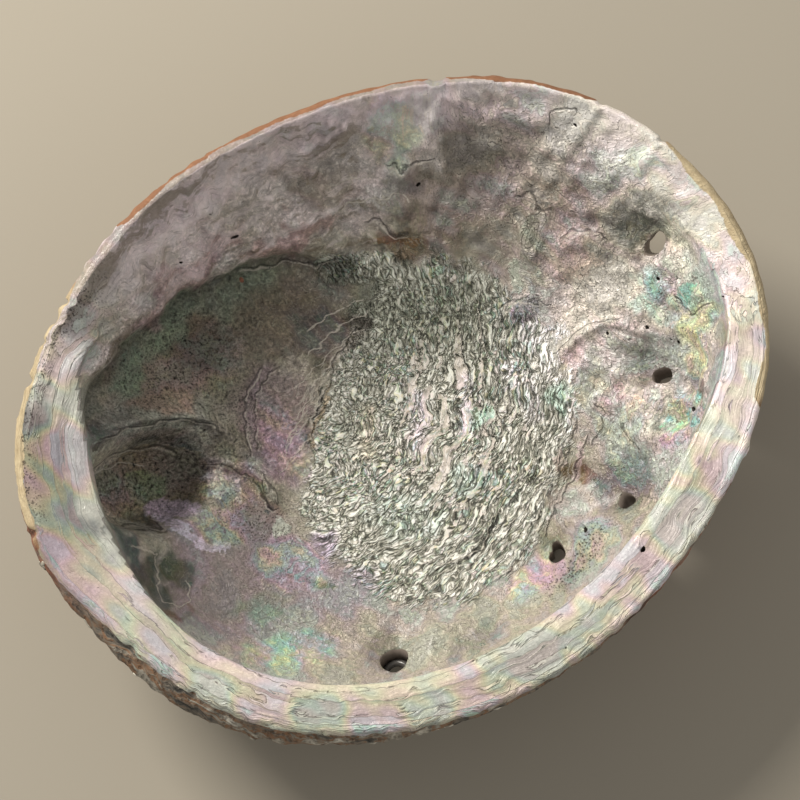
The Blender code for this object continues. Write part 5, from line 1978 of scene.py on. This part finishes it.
def scar_looks(at, tint, width, length):
    """Colour of the scar's plates, with painted shade in their crevices and painted glints on their tops, and
    the height that they add to the finest relief.
    """
    needles = value_of(at.tree, "needles", "Vector")
    coarse, side = crinkles(vectors("DIVIDE", needles, (width, length, 1.0)))
    apart = vectors("MULTIPLY", needles, (FLAKES_ACROSS / width, FLAKES_ALONG / length, 0.0))
    apart = vectors("ADD", apart, vector_of(side * FLAKE_BEND, at.fine * FLAKE_BEND))
    distance, grain, other = cells_of(apart, 1.0)
    small = below(distance, *FLAKE_EDGE) * scaled(grain, 0.8, 0.2)
    small = maths("MAXIMUM", small, between(side, *SMOOTH_SIDE) * 0.8)
    stripe = value_of(at.tree, "calm") + (scaled(at.fine, 1.6, -0.8) + scaled(side, 0.8, -0.4))
    border = below(abs(stripe - STRIPE_BORDER), *BORDER_EDGE)
    stripe = between(stripe, *STRIPE_FROM)
    rise = scaled(coarse, 0.8, 0.2) * scaled(small, 0.8, 0.2)
    # Painted light and shade: the higher a plate, the paler, up to white glints, and the crevices dark
    lit = maths("MAXIMUM", rise * scaled(at.fine, 3.3, -0.25), stripe * scaled(at.fine, 0.6, 0.10))
    lit = lit * scaled(border * value_of(at.tree, "scar"), -0.55, 1.0)
    flecked = between(other, *FLECK_EDGE) * scaled(at.cloud, 0.6, 0.1)
    flecks = ramp_of(maths("FRACT", side * 1.2 + other), PEARL_STOPS)
    colour = mixed(flecked, ramp_of(lit, PLATE_SHADE_AND_GLINT_STOPS), flecks, "MULTIPLY")
    colour = mixed(stripe * STRIPES, colour, STRIPE_COLOUR, "MULTIPLY")
    # Darker, greener areas of the scar, in part painted shade under the wall above it
    colour = mixed(value_of(at.tree, "scar_shade") * SHADES, colour, SHADE_COLOUR, "MULTIPLY")
    tinted = mixed(1.0, colour, vectors("DIVIDE", tint, srgb(*NACRE_COLOUR)), "MULTIPLY")
    return tinted, maths("MAXIMUM", rise, stripe * 0.6)


def lines_of(at):
    """How much of the dark and of the pale lines shows, the pale ones with a painted highlight beside each
    dark line, with the wider cracks and their pale borders.
    """
    bent = vectors("ADD", at.place, vector_of(at.uneven * 11.0, at.cloud * 9.0))
    network = wire(at.tree, "ShaderNodeTexVoronoi", {"Vector": bent, "Scale": NETWORK_SCALE}, "Distance",
                   voronoi_dimensions="2D", feature="DISTANCE_TO_EDGE")
    cracked = value_of(at.tree, "cracked") * between(at.grain, *CRACKED_GRAIN)
    cracked = cracked * (1 - value_of(at.tree, "scar"))
    waver = at.uneven * LINE_WAVER
    come_and_go = between(at.grain, *DARK_GAPS)
    dark = near_line(at.tree, "dark", waver, DARK_LINE_WIDE) * come_and_go
    pale = near_line(at.tree, "pale", waver, PALE_LINE_WIDE) * between(at.grain, *PALE_GAPS)
    # Painted highlight: a pale line just beside each dark line
    rim_highlight = near_line(at.tree, "dark", waver + RIM_HIGHLIGHT_SHIFT, RIM_HIGHLIGHT_WIDE) * come_and_go
    blister = value_of(at.tree, "blister")
    ringed = line_at((blister + waver * 0.16) * BLISTER_RINGS, BLISTER_LINE) * below(blister, *BLISTER_END)
    dark = maths("MAXIMUM", maths("MAXIMUM", dark, ringed), below(network, *CLEFT_EDGE) * cracked * CLEFTS)
    pale = maths("MAXIMUM", maths("MAXIMUM", pale, rim_highlight), below(network, *BESIDE_EDGE) * cracked * BESIDES)
    return dark, pale


def edged(at, colour):
    """A colour with the cut edge of the outer layer at the lip, brick red or cream, and where that shows."""
    gap = value_of(at.tree, "edge_place") + at.uneven * 1.6 - value_of(at.tree, "edge_width")
    on_edge = below(gap, -EDGE_CRISP, EDGE_CRISP)
    brick, cream = (mixed(at.fine, *colours) for colours in (BRICK_COLOURS, CREAM_COLOURS))
    edge = mixed(value_of(at.tree, "cream"), brick, cream)
    edge = mixed(at.specks * 0.8, edge, SPECK_COLOUR)
    return mixed(on_edge, colour, edge), on_edge


def bumped(tree, height, strength):
    """Surface direction with the finest relief, which the mesh is too coarse for."""
    return wire(tree, "ShaderNodeBump", {"Strength": strength, "Distance": BUMP_HIGH * MM, "Height": height})


def nacre_material(name, settings, with_scar):
    """Mother-of-pearl with its worn layers, lines, specks and the edge of the outer layer at the lip."""
    material = plain_material(name, NACRE_COLOUR, settings.roughness)
    tree = material.node_tree
    at = fields_of(tree)
    tint = marked_tint(at)
    colour = specked(at, layered(at, pearled(at, tint, settings.pearl)))
    height = at.steps * (at.contour * 0.50) + at.fine * (at.muddle * 0.75)
    height = height + at.grain * (at.grainy * 0.6) - at.cracks * 0.20
    dull = 0.0
    if with_scar:
        plate_colour, rise = scar_looks(at, tint, settings.plate_width, settings.plate_length)
        scar = between(value_of(tree, "scar") + at.uneven * 1.1, *SCAR_SHOWN)
        colour = mixed(scar * settings.scar, colour, plate_colour)
        height = mixed_number(scar, height, rise * 3.0)
        dull = scar * SCAR_DULL
    dark, pale = lines_of(at)
    colour = mixed(pale * PALE_STRENGTH, colour, PALE_LINE_COLOUR)
    colour = mixed(dark * DARK_STRENGTH, colour, DARK_LINE_COLOUR)
    colour, on_edge = edged(at, colour)
    dull = maths("MAXIMUM", dull, on_edge)
    height = height - (dark + at.specks) * 0.40 + pale * 0.25
    put_in(tree.nodes["Principled BSDF"], {
        "Base Color": colour,
        "Roughness": scaled(dull, 0.38, settings.roughness) + at.uneven * 0.25,
        "Coat Roughness": COAT_ROUGHNESS,
        "Coat Weight": (1 - dull) * (at.gloss * settings.coat),
        "Normal": bumped(tree, height, settings.bump)})
    return material


def outside_material(settings):
    """Outside of the shell: brick red and tan layers, grey crust, and dark grime under the worn rim."""
    material = plain_material("outside", BRICK_COLOURS[0], OUTSIDE_ROUGHNESS)
    tree = material.node_tree
    place = place_of(tree)
    field = noise(place, *OUTSIDE_NOISE)
    bands = line_at((value_of(tree, "from_coil") + field * 10.0) * OUTSIDE_BANDS, 0.16)
    colour = mixed(bands * 0.35, ramp_of(field, OUTSIDE_STOPS), BAND_COLOUR)
    patchy = noise(vectors("MULTIPLY", value_of(tree, "flow", "Vector"), RIM_SCALE), *RIM_NOISE)
    colour = mixed(value_of(tree, "low_rim"), colour, ramp_of(patchy, LOW_RIM_STOPS))
    grime = between(noise(place, *GRIME_NOISE), *GRIME_EDGE)
    colour = mixed(grime * 0.55, colour, GRIME_COLOUR)
    specks = spots_of(place, OUTSIDE_SPOTS) * value_of(tree, "speck")
    put_in(tree.nodes["Principled BSDF"], {
        "Base Color": mixed(specks * 0.8, colour, OUTSIDE_SPECK_COLOUR),
        "Normal": bumped(tree, patchy * 1.6 - specks * 0.6, settings.bump)})
    return material


def share_out(mesh, traits):
    """Give the scar and the outside their own materials, so that none is dearer to render than it must be."""
    corners = np.empty(len(mesh.loops), np.int32)
    mesh.loops.foreach_get("vertex_index", corners)
    starts = np.empty(len(mesh.polygons), np.int32)
    mesh.polygons.foreach_get("loop_start", starts)
    choice = np.where(np.maximum.reduceat(traits["scar"][corners], starts) > 0, 1, 0)
    choice = np.where(np.minimum.reduceat(traits["outside"][corners], starts) > 0, 2, choice)
    mesh.polygons.foreach_set("material_index", choice.astype(np.int32))


def plain_material(name, colour, roughness):
    """One plain colour, given as a picture's colour."""
    material = bpy.data.materials.new(name)
    material.use_nodes = True
    put_in(material.node_tree.nodes["Principled BSDF"],
           {"Base Color": (*srgb(*colour), 1.0), "Roughness": roughness})
    return material


def crust_material():
    """Chalky crust, pale with darker spots."""
    material = plain_material("crust", (80, 78, 72), 0.9)
    tree = material.node_tree
    spots = noise(wire(tree, "ShaderNodeTexCoord", None, "Object"), 420.0, 3.0)
    put_in(tree.nodes["Principled BSDF"], {"Base Color": ramp_of(spots, CRUST_STOPS)})
    return material


class ShellSettings(bpy.types.PropertyGroup):
    """Sizes and looks of the shell that a user would change."""

    bowl_cells: bpy.props.IntProperty(
        name="Bowl Cells", description="Cells across the bowl's grid", default=244, min=60, max=300)
    dome_cells: bpy.props.IntProperty(
        name="Dome Cells", description="Cells across the dome's grid", default=178, min=60, max=300)
    plate_height: bpy.props.FloatProperty(
        name="Plate Height", description="Height of the scar's plates in millimetres", default=0.55, min=0.0)
    plate_width: bpy.props.FloatProperty(
        name="Plate Width", description="Width of the scar's plates in millimetres", default=1.9, min=0.2)
    plate_length: bpy.props.FloatProperty(
        name="Plate Length", description="Length of the scar's plates in millimetres", default=4.6, min=0.2)
    line_height: bpy.props.FloatProperty(
        name="Line Height", description="Height of the growth lines in millimetres", default=0.16, min=0.0)
    line_spacing: bpy.props.FloatProperty(
        name="Line Spacing", description="Spacing of the growth lines in millimetres", default=0.9, min=0.1)
    crust_height: bpy.props.FloatProperty(
        name="Crust Height", description="Roughness of the outside in millimetres", default=0.8, min=0.0)
    crust_density: bpy.props.FloatProperty(
        name="Crust Density", description="Crust bits per square metre", default=26000.0, min=0.0)
    crust_size: bpy.props.FloatProperty(
        name="Crust Size", description="Radius of a crust bit", default=0.0011, min=0.0, unit="LENGTH")
    pearl: bpy.props.FloatProperty(
        name="Pearl", description="Strength of the mother-of-pearl colours", default=0.68, min=0.0, max=1.0,
        subtype="FACTOR")
    scar: bpy.props.FloatProperty(
        name="Scar", description="Strength of the scar's own colours", default=0.92, min=0.0, max=1.0,
        subtype="FACTOR")
    roughness: bpy.props.FloatProperty(
        name="Roughness", description="Roughness of the polished nacre", default=0.36, min=0.0, max=1.0,
        subtype="FACTOR")
    coat: bpy.props.FloatProperty(
        name="Coat", description="Gloss over the polished nacre", default=0.35, min=0.0, max=1.0,
        subtype="FACTOR")
    bump: bpy.props.FloatProperty(
        name="Bump", description="Strength of the finest relief", default=0.8, min=0.0, max=1.0,
        subtype="FACTOR")


class StageSettings(bpy.types.PropertyGroup):
    """Floor, light and camera."""

    floor_colour: bpy.props.FloatVectorProperty(
        name="Floor Colour", description="Colour of the floor", default=(0.38, 0.345, 0.285),
        min=0.0, max=1.0, subtype="COLOR")
    key_power: bpy.props.FloatProperty(
        name="Key Power", description="Power of the soft light from the upper left", default=13.0, min=0.0,
        unit="POWER")
    fill_power: bpy.props.FloatProperty(
        name="Fill Power", description="Power of the weak light from the right", default=0.8, min=0.0,
        unit="POWER")
    sky: bpy.props.FloatProperty(
        name="Sky", description="Strength of the even light all round", default=0.32, min=0.0)
    turn: bpy.props.FloatProperty(
        name="Turn", description="Heading of the view about the shell", default=radians(23), subtype="ANGLE")
    height: bpy.props.FloatProperty(
        name="Height", description="Elevation of the view above the floor", default=radians(78),
        subtype="ANGLE")
    distance: bpy.props.FloatProperty(
        name="Distance", description="Distance from the lip to the camera", default=0.480, min=0.1,
        unit="LENGTH")
    width: bpy.props.FloatProperty(
        name="Width", description="Width of the view at the lip", default=0.2028, min=0.05, unit="LENGTH")


class SHELL_OT_shell(bpy.types.Operator):
    """Build the shell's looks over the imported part"""

    bl_idname = "shell.build_shell"
    bl_label = "Build Shell"

    def execute(self, context):
        """Make the skin, cut it, raise its relief and give it its materials."""
        settings = context.scene.shell_looks
        nacre = nacre_material("nacre", settings, False)
        hole_wall = plain_material("hole wall", (50, 46, 43), 0.5)
        dark_pit = plain_material("pit", (14, 11, 9), 0.8)
        mesh, spots = shell_skin(settings.bowl_cells, settings.dome_cells)
        marks, within = marks_of(spots)
        traits = {**traits_of(spots), "mark_within": within}
        for material in (nacre, nacre_material("scar", settings, True), outside_material(settings)):
            mesh.materials.append(material)
        share_out(mesh, traits)
        shell = bpy.data.objects.new("shell", mesh)
        context.scene.collection.objects.link(shell)
        context.view_layer.update()
        before = points_of(mesh)
        collar = cut_holes(shell, hole_wall, dark_pit)
        collar.data.materials.append(plain_material("hole ring", (30, 29, 28), 0.25))
        spread_traits(shell.data, before, traits, {"tint": tint_of(spots), "mark": marks})
        shell.data = run_tree(shell, relief_tree(), {
            "Plate Height": settings.plate_height, "Plate Width": settings.plate_width,
            "Plate Length": settings.plate_length, "Line Height": settings.line_height,
            "Line Spacing": settings.line_spacing, "Crust Height": settings.crust_height,
            "Material": nacre}, "shell_relief")
        bits = run_tree(shell, crust_tree(), {
            "Density": settings.crust_density, "Size": settings.crust_size, "Seed": CRUST_SEED,
            "Material": crust_material()}, "crust_bits")
        crust = bpy.data.objects.new("crust", bits)
        context.scene.collection.objects.link(crust)
        shell = joined("shell", [shell, crust, collar])
        shell.data.shade_smooth()
        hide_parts("abalone_shell")
        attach(shell, "root")
        print("shell triangles", sum(len(face.vertices) - 2 for face in shell.data.polygons))
        return {"FINISHED"}


class SHELL_OT_stage(bpy.types.Operator):
    """Lay the floor, hang the lights and set the camera"""

    bl_idname = "shell.build_stage"
    bl_label = "Build Stage"

    def execute(self, context):
        """Make the floor, two lamps and the camera."""
        settings = context.scene.shell_stage
        bpy.ops.mesh.primitive_plane_add(size=FLOOR_SIZE)
        floor = context.object
        floor.name = "floor"
        material = bpy.data.materials.new("floor")
        material.use_nodes = True
        shader = material.node_tree.nodes["Principled BSDF"]
        shader.inputs["Base Color"].default_value = (*settings.floor_colour, 1.0)
        shader.inputs["Roughness"].default_value = FLOOR_ROUGHNESS
        floor.data.materials.append(material)

        world = bpy.data.worlds.new("stage")
        world.use_nodes = True
        sky = world.node_tree.nodes["Background"]
        sky.inputs["Color"].default_value = SKY_COLOUR
        sky.inputs["Strength"].default_value = settings.sky
        context.scene.world = world

        left = Vector((cos(settings.turn), -sin(settings.turn), 0)) * -1
        up = Vector((sin(settings.turn), cos(settings.turn), 0))
        target = Vector((*VIEW_MIDDLE, HEIGHT)) * MM
        lamps = (("key", KEY_LAMP, settings.key_power), ("fill", FILL_LAMP, settings.fill_power))
        for name, lamp, power in lamps:
            place = target + left * lamp.left + up * lamp.up + Vector((0, 0, lamp.above))
            data = bpy.data.lights.new(name, "AREA")
            data.energy = power
            data.size = lamp.size
            data.color = LAMP_COLOUR
            made = bpy.data.objects.new(name, data)
            made.location = place
            made.rotation_euler = (place - target).to_track_quat("Z", "Y").to_euler()
            context.scene.collection.objects.link(made)

        camera = bpy.data.objects.new("camera", bpy.data.cameras.new("camera"))
        back = Vector((0, 0, sin(settings.height))) - up * cos(settings.height)
        camera.location = target + back * settings.distance
        camera.rotation_mode = "QUATERNION"
        camera.rotation_quaternion = back.to_track_quat("Z", "Y")
        camera.data.angle = 2 * atan(settings.width / 2 / settings.distance)
        camera.data.clip_start = NEAREST_SEEN
        context.scene.collection.objects.link(camera)
        context.scene.camera = camera
        context.scene.view_settings.view_transform = "Standard"
        return {"FINISHED"}


class SHELL_PT_panel(bpy.types.Panel):
    """Buttons and sizes of the shell"""

    bl_label = "Abalone Shell"
    bl_idname = "SHELL_PT_panel"
    bl_space_type = "VIEW_3D"
    bl_region_type = "UI"
    bl_category = "Shell"

    def draw(self, context):
        """List the settings above each button."""
        for group, operator in ((context.scene.shell_looks, SHELL_OT_shell),
                                (context.scene.shell_stage, SHELL_OT_stage)):
            box = self.layout.box()
            for name in group.bl_rna.properties.keys():
                if name not in {"rna_type", "name"}:
                    box.prop(group, name)
            box.operator(operator.bl_idname)


CLASSES = (ShellSettings, StageSettings, SHELL_OT_shell, SHELL_OT_stage, SHELL_PT_panel)


def register():
    """Register the classes and their settings."""
    for each in CLASSES:
        bpy.utils.register_class(each)
    bpy.types.Scene.shell_looks = bpy.props.PointerProperty(type=ShellSettings)
    bpy.types.Scene.shell_stage = bpy.props.PointerProperty(type=StageSettings)


def unregister():
    """Take the settings and classes away again."""
    del bpy.types.Scene.shell_stage
    del bpy.types.Scene.shell_looks
    for each in reversed(CLASSES):
        bpy.utils.unregister_class(each)


def main():
    """Build everything in order and note the sizes."""
    register()
    clear_leftovers()
    bpy.ops.shell.build_shell()
    bpy.ops.shell.build_stage()


if __name__ == "__main__":
    main()
